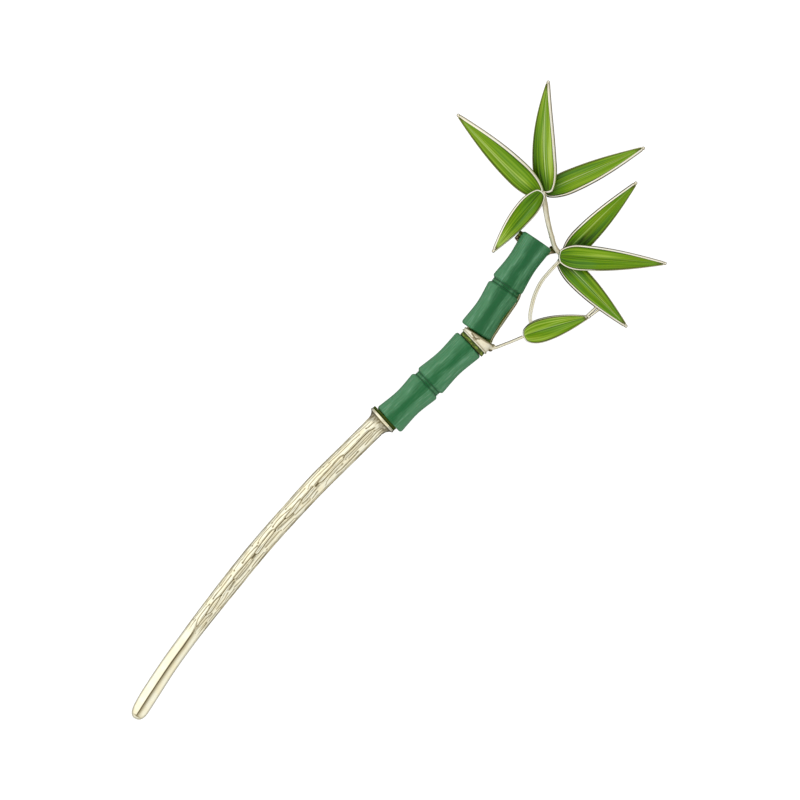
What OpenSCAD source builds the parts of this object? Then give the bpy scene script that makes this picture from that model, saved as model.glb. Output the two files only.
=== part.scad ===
// Bamboo hair stick, lying face up on a table. Millimetres.
// X runs from the blade's tip to the leaves, Z is up, the origin is under the middle of the box.

/* [Blade] */
// Width of the blade where the bark pattern meets the ferrule
blade_w = 4.9; // [4.5:0.1:5.4]
// Width of the plain polished tip
tip_w = 4.0; // [3.4:0.1:4.4]
// Thickness of the blade at the ferrule
blade_t = 3.6; // [3:0.1:4.2]
// Thickness of the plain polished tip
tip_t = 2.4; // [2:0.1:2.4]
// Length over which the tip rounds off
tip_round_l = 3.4; // [2:0.1:5]
// How far the middle ridge of the tip stands out of a plain oval, as a share
tip_ridge = 0.45; // [0:0.05:0.8]
// Sides round the blade
blade_sides = 28; // [20:4:32]

/* [Bark relief] */
// Depth of the grooves between the bark strips
bark_depth = 0.34; // [0.1:0.02:0.45]
// Bark strips round the blade
bark_strips = 7; // [5:1:9]
// Length of one bark strip
strip_l = 9.5; // [6:0.5:14]
// Sideways wander of the strips in degrees round the blade
strip_wander = 9; // [0:1:20]

/* [Ferrule and tang] */
// Outer radius of the rolled rim
rim_r = 3.8; // [3.6:0.05:4]
// Radius of the tang that carries the lower bead
tang_r = 1.0; // [0.7:0.1:1.2]
// Clearance round the tang in its bores
tang_gap = 0.2; // [0.1:0.05:0.4]

/* [Bamboo beads] */
// Length of a bead
bead_l = 26.2; // [24:0.1:26.4]
// Radius at the bead's ends
bead_end_r = 3.8; // [3.6:0.05:3.9]
// Radius at the waist of an internode
bead_waist_r = 3.48; // [3.2:0.02:3.7]
// Radius at the swellings beside the node groove
bead_node_r = 3.95; // [3.8:0.05:4]
// Radius at the bottom of the node groove
groove_r = 3.4; // [3.1:0.05:3.6]
// Radius of the fine ring in the groove
groove_ring_r = 3.55; // [3.4:0.05:3.7]
// Depth of the flat ground on the back of the upper bead, from its axis
bead_flat = 3.3; // [3.2:0.05:3.4]

/* [Soldered frame] */
// Thickness of the backing plate
plate_t = 0.9; // [0.6:0.05:0.9]
// Largest radius of the wedge collar between the beads
collar_r = 4.1; // [3.9:0.05:4.15]
// Radius of the collar's waist
collar_waist_r = 3.7; // [3.3:0.05:3.9]

/* [Leaves] */
// Height of a leaf's metal rim above its underside
rim_h = 1.0; // [0.8:0.05:1.1]
// Width of the metal rim
rim_w = 0.36; // [0.3:0.02:0.6]
// Thickness of the metal floor under the enamel
floor_t = 0.4; // [0.3:0.05:0.5]
// Height of the enamel's face above the leaf's underside
enamel_h = 0.88; // [0.7:0.02:0.95]
// Clearance between the enamel and the metal
enamel_gap = 0.06; // [0.04:0.01:0.1]
// Rise of a leaf's middle over its edges
crown = 0.35; // [0:0.05:0.6]
// Radius of the metal bead at a leaf's tip
leaf_tip_r = 0.36; // [0.3:0.02:0.5]

/* [Hidden] */

gold = [0.87, 0.82, 0.66];
jade = [0.21, 0.50, 0.31];
leaf_green = [0.44, 0.66, 0.14];

// Height of the bead axes above the table
axis_z = plate_t + 0.1 + bead_flat;

// Middle line and size of the blade, a row for each section:
// x, y, z of the middle, width, thickness
blade_rows = [
    [-90.6, -1.80, 1.18, tip_w, tip_t - 0.1],
    [-84.0, -0.92, 1.21, tip_w + 0.1, tip_t],
    [-76.0, 0.05, 1.50, tip_w, tip_t + 0.1],
    [-68.0, 0.65, 1.95, tip_w, tip_t + 0.3],
    [-60.0, 1.05, 2.45, blade_w - 0.75, blade_t - 0.7],
    [-50.0, 1.35, 3.05, blade_w - 0.45, blade_t - 0.5],
    [-40.0, 1.48, 3.55, blade_w - 0.40, blade_t - 0.3],
    [-30.0, 1.22, 3.95, blade_w - 0.30, blade_t - 0.2],
    [-20.0, 0.75, 4.20, blade_w - 0.05, blade_t - 0.1],
    [-10.0, -0.18, axis_z, blade_w, blade_t],
    [-2.0, -0.92, axis_z, blade_w, blade_t + 0.1]
];
// Where the bark pattern starts above the plain tip, and where it is at full depth
bark_start = -67;
bark_full = -63;

// Middle of the ferrule's rim, and the way the ferrule points in plan
ferrule = [1.3, -1.35, axis_z];
ferrule_turn = -8;
// Ferrule, a row for each section: place along its axis, half width, half height, share of relief
ferrule_rows = [
    [-2.30, 2.50, 2.05, 0.9],
    [-1.60, 2.65, 2.40, 0.7],
    [-1.05, 2.95, 2.85, 0.4],
    [-0.65, 3.28, 3.25, 0.0],
    [-0.45, 3.50, 3.50, 0.0],
    [-0.30, rim_r - 0.10, rim_r - 0.10, 0.0],
    [-0.05, rim_r, rim_r, 0.0],
    [0.20, rim_r - 0.05, rim_r - 0.05, 0.0],
    [0.38, rim_r - 0.22, rim_r - 0.22, 0.0],
    [0.45, rim_r - 0.45, rim_r - 0.45, 0.0],
    [0.35, rim_r - 0.65, rim_r - 0.65, 0.0],
    [0.00, rim_r - 0.75, rim_r - 0.75, 0.0],
    [-0.30, rim_r - 0.85, rim_r - 0.85, 0.0]
];

// Lower bead: middle of its end at the ferrule, and the way it points in plan
lower_start = [2.1, -2.52, axis_z];
lower_turn = -6.5;
// Upper bead: middle of its end at the collar, and the way it points in plan
upper_start = [31.3, -4.75, axis_z];
upper_turn = 5.7;
// Length of the internode next to the ferrule or the collar, and width of the groove after it
internode_l = 11.9;
groove_w = 1.5;
// Rounding of a bead's ends and of the groove's edges
end_round = 0.45;

// Wedge collar: middle of its face at the lower bead and at the upper bead
collar_from = [28.35, -6.0, axis_z];
collar_to = [31.1, -6.15, axis_z];
// Collar, a row for each ring: share of the way along, radius
collar_rows = [
    [0.00, 3.45],
    [0.04, 3.60],
    [0.26, 3.60],
    [0.29, collar_r - 0.08],
    [0.34, collar_r],
    [0.40, collar_r - 0.08],
    [0.48, collar_waist_r + 0.14],
    [0.62, collar_waist_r],
    [0.76, collar_waist_r + 0.12],
    [0.88, collar_r - 0.12],
    [0.95, collar_r - 0.06],
    [1.00, collar_r - 0.22]
];
collar_sides = 32;

// Backing plate outline in plan, clockwise from the collar's upper side: x, y
plate_outline = [
    [30.0, -2.6], [34.0, -2.2], [40.0, -1.4], [46.0, -0.9], [52.6, -0.4], [53.9, 0.6], [54.3, 2.45],
    [56.6, 2.45], [56.8, 0.9], [57.0, -1.6], [57.2, -5.2], [58.3, -5.5], [58.8, -6.4], [58.9, -7.4],
    [57.9, -7.5], [56.9, -6.2], [55.6, -5.7], [51.0, -5.6], [46.5, -6.6], [44.0, -7.5], [41.2, -7.95],
    [38.0, -8.1], [35.3, -8.5], [33.0, -9.0], [31.5, -9.5], [30.0, -9.0]
];

// Twigs, a row for each section: x, y, z, radius
twig_a_rows = [
    [30.4, -9.70, 4.2, 0.55], [31.2, -10.65, 4.0, 0.56], [33.1, -11.75, 3.6, 0.50],
    [35.2, -12.90, 3.1, 0.48], [37.75, -14.20, 2.75, 0.50]
];
twig_b_rows = [
    [41.3, -13.50, 2.8, 0.42], [42.5, -12.30, 2.8, 0.46], [44.6, -11.05, 2.8, 0.50], [47.2, -9.90, 2.9, 0.52],
    [50.2, -9.15, 3.0, 0.52], [53.2, -9.05, 3.0, 0.50], [56.8, -9.25, 3.1, 0.45]
];
twig_c_rows = [
    [58.45, -8.50, 2.3, 0.62], [58.6, -7.20, 2.5, 0.58], [59.15, -5.80, 2.8, 0.56], [60.4, -4.00, 3.1, 0.56],
    [61.8, -2.00, 3.4, 0.58], [63.35, 0.00, 3.7, 0.62], [64.9, 1.80, 3.9, 0.70], [66.4, 3.70, 4.0, 0.62]
];
// The two short rods that tie the small leaf to its neighbour, a row for each: both ends, radius
link_rods = [
    [[51.2, -22.60, 2.35], [54.3, -23.00, 1.9], 0.34],
    [[51.7, -23.20, 2.25], [54.4, -23.85, 1.9], 0.28]
];
// The knob where the first twig leaves the collar: both ends, radius
knob_rod = [[30.5, -9.50, 4.2], [31.3, -10.20, 4.1], 0.62];
twig_sides = 8;

// Rods of the two lugs on the backing plate, a row for each: both ends, radius.
// The first two hold the leaf over the bead's far corner, the last two hold the stem at its near corner.
lug_rods = [
    [[54.8, 2.05, 0.5], [54.8, 2.05, 5.0], 0.40],
    [[56.1, 2.05, 0.5], [56.1, 2.05, 5.2], 0.40],
    [[58.15, -5.70, 0.5], [58.75, -6.30, 2.4], 0.38],
    [[58.1, -7.10, 0.5], [58.5, -7.60, 2.3], 0.42]
];
// Web between the first two rods: lowest corner, size
lug_web = [[54.8, 1.68, 0.2], [1.3, 0.7, 5.0]];

// Leaves, a row for each, columns:
// base x, base y, base z, tip x, tip y, tip z, half width, belly place, bow to the left, roll, arch
leaf_rows = [
    [65.95, 4.07, 4.12, 68.05, 31.1, 3.6, 2.93, 0.27, 0.05, -17, 0.98],
    [67.33, 3.27, 2.87, 87.65, 19.8, 2.4, 2.78, 0.25, 0.88, -19, 0.78],
    [66.93, 4.00, 1.62, 90.0, -7.4, 1.5, 2.75, 0.25, -0.15, -17, 0.52],
    [66.82, 4.45, 5.35, 48.7, 4.3, 5.0, 2.53, 0.30, -0.30, -10, 0.68],
    [58.80, -9.48, 1.52, 82.6, -11.1, 1.3, 2.70, 0.24, 0.0, 15, 0.48],
    [57.67, -8.27, 3.07, 72.6, -28.6, 1.9, 2.95, 0.20, 0.0, 14, 0.88],
    [57.48, -8.70, 1.50, 55.15, -31.1, 1.3, 2.66, 0.27, -0.10, -14, 0.50],
    [37.78, -14.13, 2.22, 51.3, -23.0, 1.9, 2.74, 0.28, 0.12, 8, 0.48]
];
LEAF_BASE_X = 0;
LEAF_BASE_Y = 1;
LEAF_BASE_Z = 2;
LEAF_TIP_X = 3;
LEAF_TIP_Y = 4;
LEAF_TIP_Z = 5;
LEAF_HALF_W = 6;
LEAF_BELLY = 7;
LEAF_BOW = 8;
LEAF_ROLL = 9;
LEAF_ARCH = 10;
// Sections along a leaf, and points across it
leaf_steps = 12;
leaf_across = 5;
// Share of a leaf's length that is plain metal at its base and at its tip
leaf_plain_base = 0.5;
leaf_plain_tip = 1.1;

// Hubs that join the leaf bases, a row for each: x, y, lowest z, highest z, radius
hub_rows = [
    [66.57, 3.92, 2.0, 5.2, 0.5],
    [58.2, -8.8, 1.8, 2.75, 0.5]
];

function clamp01(t) = max(0, min(1, t));
function smooth(t) = let (c = clamp01(t)) c * c * (3 - 2 * c);
function mix(a, b, t) = a + (b - a) * t;

// A smooth curve through four rows, from the second to the third
function spline(a, b, c, d, t) =
    0.5 * (2 * b + (c - a) * t + (2 * a - 5 * b + 4 * c - d) * t * t + (3 * b - a - 3 * c + d) * t * t * t);

// The row at place t, where whole numbers are the rows of the table
function row_at(rows, t) =
    let (last = len(rows) - 1, i = min(last - 1, max(0, floor(t))), s = t - i)
    spline(rows[max(0, i - 1)], rows[i], rows[i + 1], rows[min(last, i + 2)], s);

// The place in a table whose first column is x
function place_of(rows, x, i = 0) =
    i >= len(rows) - 2 || x < rows[i + 1][0]
        ? i + (x - rows[i][0]) / (rows[i + 1][0] - rows[i][0])
        : place_of(rows, x, i + 1);

function xyz(row) = [row[0], row[1], row[2]];

// A ring of points in the plane across direction d: half width across, half height up
function ring_at(middle, d, half_w, half_h, sides, ridge = 0, relief = undef) =
    let (
        plan = norm([d[0], d[1]]),
        across = [-d[1] / plan, d[0] / plan, 0],
        up = cross(d, across) / norm(d)
    )
    [for (k = [0:sides - 1])
        let (
            a = 360 * k / sides,
            oval = sin(a),
            roof = sign(oval) * (1 - abs(cos(a))),
            grow = is_undef(relief) ? 0 : relief[k]
        )
        middle + across * (half_w + grow) * cos(a) + up * (half_h + grow) * mix(oval, roof, ridge)];

// Closed solid through rings of equal length
module loft(rings) {
    n = len(rings[0]);
    last = len(rings) - 1;
    polyhedron(
        points = [for (r = rings) each r],
        faces = concat(
            [[for (k = [0:n - 1]) k]],
            [for (i = [0:last - 1], k = [0:n - 1])
                let (a = i * n + k, b = i * n + (k + 1) % n) each [[a, a + n, b], [b, a + n, b + n]]],
            [[for (k = [n - 1:-1:0]) last * n + k]]
        ),
        convexity = 10
    );
}

// Relief of the bark at place x along the blade, round the ring: grooves between staggered strips
function bark_ring(x, share) =
    let (
        course = floor(x / strip_l),
        along = x / strip_l - course,
        end_notch = smooth(1 - abs(along - 0.5 + 0.08 * sin(course * 140)) / 0.09)
    )
    [for (k = [0:blade_sides - 1])
        let (
            a = 360 * k / blade_sides,
            wander = strip_wander * sin(x * 11) + 0.6 * strip_wander * sin(x * 27 + 2 * a),
            stagger = 180 / bark_strips * course,
            strip = floor((a + wander + stagger) * bark_strips / 360),
            across = abs(sin((a + wander + stagger) * bark_strips / 2)),
            alternate = (strip + course) % 2 == 0 ? end_notch : 0.25 * end_notch
        )
        -bark_depth * share * max(1 - pow(across, 0.7), 0.8 * alternate)];

// Ring of the blade at x
function blade_ring(x) =
    let (
        t = place_of(blade_rows, x),
        row = row_at(blade_rows, t),
        d = xyz(row_at(blade_rows, t + 0.02)) - xyz(row_at(blade_rows, t - 0.02)),
        from_end = x - blade_rows[0][0],
        round_off = from_end >= tip_round_l ? 1 : sqrt(1 - pow(1 - from_end / tip_round_l, 2)),
        share = smooth((x - bark_start) / (bark_full - bark_start))
    )
    ring_at(xyz(row), d, row[3] / 2 * round_off, row[4] / 2 * round_off, blade_sides,
        tip_ridge * (1 - share), bark_ring(x, share));

// Ring of the ferrule
function ferrule_ring(row) =
    let (d = [cos(ferrule_turn), sin(ferrule_turn), 0])
    ring_at(ferrule + d * row[0], d, row[1], row[2], blade_sides, 0, bark_ring(row[0], row[3]));

// Ring of the tang at distance s along the lower bead
function tang_ring(s, r) =
    let (d = [cos(lower_turn), sin(lower_turn), 0])
    ring_at(lower_start + d * s, d, r, r, blade_sides);

module blade() {
    plain_xs = [for (e = [0.03, 0.25, 0.7, 1.4, 2.4, 3.6]) blade_rows[0][0] + e];
    tip_xs = [for (i = [1:7]) mix(blade_rows[0][0] + 3.6, bark_start, i / 7)];
    bark_xs = [for (i = [1:51]) mix(bark_start, -2, i / 51)];
    color(gold)
    loft(concat(
        [for (x = concat(plain_xs, tip_xs, bark_xs)) blade_ring(x)],
        [for (row = ferrule_rows) ferrule_ring(row)],
        [tang_ring(-0.95, tang_r), tang_ring(bead_l + 1.2, tang_r), tang_ring(bead_l + 1.4, tang_r - 0.2)]
    ));
}

// Outline of one internode: narrow in the middle, swollen at both ends
function internode(from, to, r_from, r_to) =
    [for (i = [0:8])
        let (t = i / 8, bulge = pow(2 * t - 1, 2), r_end = t < 0.5 ? r_from : r_to)
        [mix(bead_waist_r, r_end, bulge), mix(from, to, t)]];

// Half outline of a bead with its bore: radius, place along the axis
function bead_outline(bore) =
    let (g = internode_l, w = groove_w, e = end_round)
    concat(
        [[bore, 0], [bead_end_r - e, 0], [bead_end_r - 0.13, 0.13]],
        internode(e, g - 0.2, bead_end_r, bead_node_r),
        [[bead_node_r - 0.25, g], [groove_r, g + 0.35], [groove_r, g + w / 2 - 0.2],
         [groove_ring_r, g + w / 2], [groove_r, g + w / 2 + 0.2], [groove_r, g + w - 0.35],
         [bead_node_r - 0.25, g + w]],
        internode(g + w + 0.2, bead_l - e, bead_node_r, bead_end_r),
        [[bead_end_r - 0.13, bead_l - 0.13], [bead_end_r - e, bead_l], [bore, bead_l]]
    );

// A bead along its axis in place
module bead(start, turn) {
    translate(start) rotate([0, 0, turn]) rotate([0, 90, 0])
        rotate_extrude($fn = 96) polygon(bead_outline(tang_r + tang_gap));
}

module lower_bead() {
    color(jade) bead(lower_start, lower_turn);
}

module upper_bead() {
    color(jade)
    difference() {
        bead(upper_start, upper_turn);
        translate(upper_start + [-1, -6, -bead_flat - 5]) cube([bead_l + 4, 14, 5]);
    }
}

// Collar rings turn from square to the lower bead to square to the upper bead
module collar() {
    loft([for (row = collar_rows)
        let (turn = mix(lower_turn, upper_turn, row[0]), d = [cos(turn), sin(turn), 0])
        ring_at(mix(collar_from, collar_to, row[0]), d, row[1], row[1], collar_sides)]);
}

// A round twig through the rows of its table
module twig(rows, steps_each = 3) {
    count = (len(rows) - 1) * steps_each;
    loft([for (i = [0:count])
        let (
            t = i / steps_each,
            row = row_at(rows, t),
            d = xyz(row_at(rows, t + 0.05)) - xyz(row_at(rows, t - 0.05))
        )
        ring_at(xyz(row), d, row[3], row[3], twig_sides)]);
}

// Half width of a leaf at share u of its length: round base, belly, long point
function leaf_half(row, u) =
    let (
        p = row[LEAF_BELLY],
        f = u < p ? pow(sin(90 * u / p), 0.45) : cos(90 * (u - p) / (1 - p))
    )
    leaf_tip_r + (row[LEAF_HALF_W] - leaf_tip_r) * f;

// Point of a leaf: share u of its length, v across to the left, w above its underside
function leaf_point(row, u, v, w) =
    let (
        base = [row[LEAF_BASE_X], row[LEAF_BASE_Y], row[LEAF_BASE_Z]],
        tip = [row[LEAF_TIP_X], row[LEAF_TIP_Y], row[LEAF_TIP_Z]],
        d = tip - base,
        left = [-d[1], d[0], 0] / norm([d[0], d[1]]),
        up = [0, 0, 1],
        swell = 4 * u * (1 - u),
        roll = row[LEAF_ROLL] * sin(90 * min(1, u / 0.4)),
        dome = -crown * pow(v / row[LEAF_HALF_W], 2)
    )
    base + d * u + left * row[LEAF_BOW] * swell + up * row[LEAF_ARCH] * swell
        + (left * cos(roll) + up * sin(roll)) * v
        + (up * cos(roll) - left * sin(roll)) * (w + dome);

// Leaf-shaped solid drawn in by inset, from height low to height high over the leaf's underside
module leaf_solid(row, inset, low, high) {
    length = norm([row[LEAF_TIP_X] - row[LEAF_BASE_X], row[LEAF_TIP_Y] - row[LEAF_BASE_Y]]);
    u_from = inset == 0 ? 0 : (leaf_plain_base + inset - rim_w) / length;
    u_to = inset == 0 ? 1 : 1 - (leaf_plain_tip + inset - rim_w) / length;
    loft([for (i = [0:leaf_steps])
        let (
            u = mix(u_from, u_to, 0.5 - 0.5 * cos(180 * i / leaf_steps)),
            h = max(0.12, leaf_half(row, u) - inset),
            n = leaf_across - 1
        )
        concat(
            [for (k = [0:n]) leaf_point(row, u, h * (1 - 2 * k / n), high)],
            [for (k = [0:n]) leaf_point(row, u, h * (2 * k / n - 1), low)]
        )]);
}

// Metal cell of a leaf: floor, raised rim and a small bead at the tip
module leaf_cell(row) {
    difference() {
        leaf_solid(row, 0, 0, rim_h);
        leaf_solid(row, rim_w, floor_t, rim_h + 1);
    }
    hull() {
        for (s = [-1, 1])
            translate(leaf_point(row, 1 + s * 0.008, 0, rim_h / 2)) sphere(r = leaf_tip_r + 0.04, $fn = 10);
    }
}

// Post between two heights that a hub or a lug is made of
module post(x, y, z_low, z_high, r) {
    hull() {
        translate([x, y, z_low]) sphere(r = r, $fn = 12);
        translate([x, y, z_high]) sphere(r = r, $fn = 12);
    }
}

// Bar with rounded ends between two points
module bar(from, to, r) {
    hull() {
        translate(from) sphere(r = r, $fn = 10);
        translate(to) sphere(r = r, $fn = 10);
    }
}

module backing() {
    linear_extrude(height = plate_t) polygon(plate_outline);
    for (rod = lug_rods) bar(rod[0], rod[1], rod[2]);
    translate(lug_web[0]) cube(lug_web[1]);
}

module branch_frame() {
    color(gold)
    difference() {
        union() {
            collar();
            backing();
            bar(knob_rod[0], knob_rod[1], knob_rod[2]);
            twig(twig_a_rows);
            twig(twig_b_rows);
            twig(twig_c_rows);
            for (rod = link_rods) bar(rod[0], rod[1], rod[2]);
            for (row = hub_rows) post(row[0], row[1], row[2], row[3], row[4]);
            for (row = leaf_rows) leaf_cell(row);
        }
        // Socket for the end of the tang
        translate(lower_start) rotate([0, 0, lower_turn]) rotate([0, 90, 0])
            cylinder(r = tang_r + tang_gap, h = bead_l + 1.6, $fn = 28);
    }
}

// Enamel of one leaf, in its metal cell
module leaf_enamel(number) {
    color(leaf_green)
    leaf_solid(leaf_rows[number - 1], rim_w + enamel_gap, floor_t + enamel_gap, enamel_h);
}

blade();
lower_bead();
upper_bead();
branch_frame();
leaf_enamel(1);  // leaf_enamel_1
leaf_enamel(2);  // leaf_enamel_2
leaf_enamel(3);  // leaf_enamel_3
leaf_enamel(4);  // leaf_enamel_4
leaf_enamel(5);  // leaf_enamel_5
leaf_enamel(6);  // leaf_enamel_6
leaf_enamel(7);  // leaf_enamel_7
leaf_enamel(8);  // leaf_enamel_8
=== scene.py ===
"""Bamboo hair stick: cast bark blade, two green bamboo beads, wedge collar, twigs and eight enamelled leaves."""

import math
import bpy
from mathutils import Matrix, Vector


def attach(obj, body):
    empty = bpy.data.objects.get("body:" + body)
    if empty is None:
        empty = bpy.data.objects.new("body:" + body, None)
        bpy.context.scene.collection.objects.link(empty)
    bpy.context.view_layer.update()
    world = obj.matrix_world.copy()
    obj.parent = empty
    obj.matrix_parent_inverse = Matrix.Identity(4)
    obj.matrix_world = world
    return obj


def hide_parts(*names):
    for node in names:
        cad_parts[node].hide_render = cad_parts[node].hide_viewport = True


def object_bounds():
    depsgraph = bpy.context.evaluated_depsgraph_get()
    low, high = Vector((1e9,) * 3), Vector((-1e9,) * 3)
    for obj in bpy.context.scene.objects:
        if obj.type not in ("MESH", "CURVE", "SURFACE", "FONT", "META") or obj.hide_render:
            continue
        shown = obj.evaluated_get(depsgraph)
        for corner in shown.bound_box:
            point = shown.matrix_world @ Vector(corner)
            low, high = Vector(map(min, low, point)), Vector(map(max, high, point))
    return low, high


bl_info = {
    "name": "Bamboo Hair Stick",
    "version": (1, 0, 0),
    "blender": (4, 5, 0),
    "location": "View3D > Sidebar > Hair Stick",
    "description": "Builds the hair stick's pieces, finishes and stage round its packed frame",
    "category": "Object",
}

import bmesh
import bpy
from bpy.props import FloatProperty, FloatVectorProperty, PointerProperty
from mathutils import Vector, noise

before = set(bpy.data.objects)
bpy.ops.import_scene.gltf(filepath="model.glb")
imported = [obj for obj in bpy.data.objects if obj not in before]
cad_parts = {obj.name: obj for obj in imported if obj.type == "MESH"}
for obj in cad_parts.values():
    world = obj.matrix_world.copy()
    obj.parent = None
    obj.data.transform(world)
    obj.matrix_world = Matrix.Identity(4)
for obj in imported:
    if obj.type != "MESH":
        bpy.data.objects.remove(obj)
cad_box = [list(corner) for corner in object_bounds()]

# Tables are in millimetres, as in the part's source, and a finished mesh is scaled to metres
MM = 0.001

# A per-vertex attribute of each metal piece sets its colour, and so holds its painted shade, painted reflection and
# some
# random tone: 0 plating, 0.5 tan painted shade, 1 brown painted shade, 2 seat green painted reflection, 3 painted
# shadow
TAN = 0.5
BROWN = 1.0
SEAT_GREEN = 2.0
SEAT_SHADOW = 3.0

# Height of the bead axes above the table
AXIS_Z = 4.3

# Middle line and size of the blade: x, y, z, width, thickness
BLADE_ROWS = [
    (-90.6, -1.80, 1.18, 4.00, 2.3),
    (-84.0, -0.92, 1.21, 4.10, 2.4),
    (-76.0, 0.05, 1.50, 4.00, 2.5),
    (-68.0, 0.65, 1.95, 4.00, 2.7),
    (-60.0, 1.05, 2.45, 4.15, 2.9),
    (-50.0, 1.35, 3.05, 4.45, 3.1),
    (-40.0, 1.48, 3.55, 4.50, 3.3),
    (-30.0, 1.22, 3.95, 4.60, 3.4),
    (-20.0, 0.75, 4.20, 4.85, 3.5),
    (-10.0, -0.18, AXIS_Z, 4.90, 3.6),
    (-2.0, -0.92, AXIS_Z, 4.90, 3.7),
]
# Length over which the tip rounds off, where the tip is full width again on its left, and where the bark
# starts and is at full depth
TIP_ROUND = 3.4
TIP_FULL = -84.0
BARK_START = -67.5
BARK_FULL = -63.0
# Rings of the blade's mesh: in the round of the tip, in the plain stretch, in the bark and in the ferrule
TIP_RINGS = 26
PLAIN_RINGS = 56
BARK_RINGS = 470
FERRULE_RINGS = 90
# Columns of its mesh: on the face, and all round
FACE_COLUMNS = 76
BLADE_COLUMNS = 116
# Strips of bark all round the blade, which show on its sides and back
BARK_STRIPS = 16
# Where the neck in front of the ferrule, painted with patchy shade, starts
NECK_START = -2.0

# The dark line down the middle of the plain tip, a painted dark reflection along its ridge: x, distance to the left
# of the middle line
TIP_LINE = [
    (-91.0, 0.02), (-84.0, 0.00), (-76.0, -0.15), (-70.0, -0.20), (-66.0, -0.05), (-64.2, 0.08), (-60.0, 0.10),
]
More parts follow.
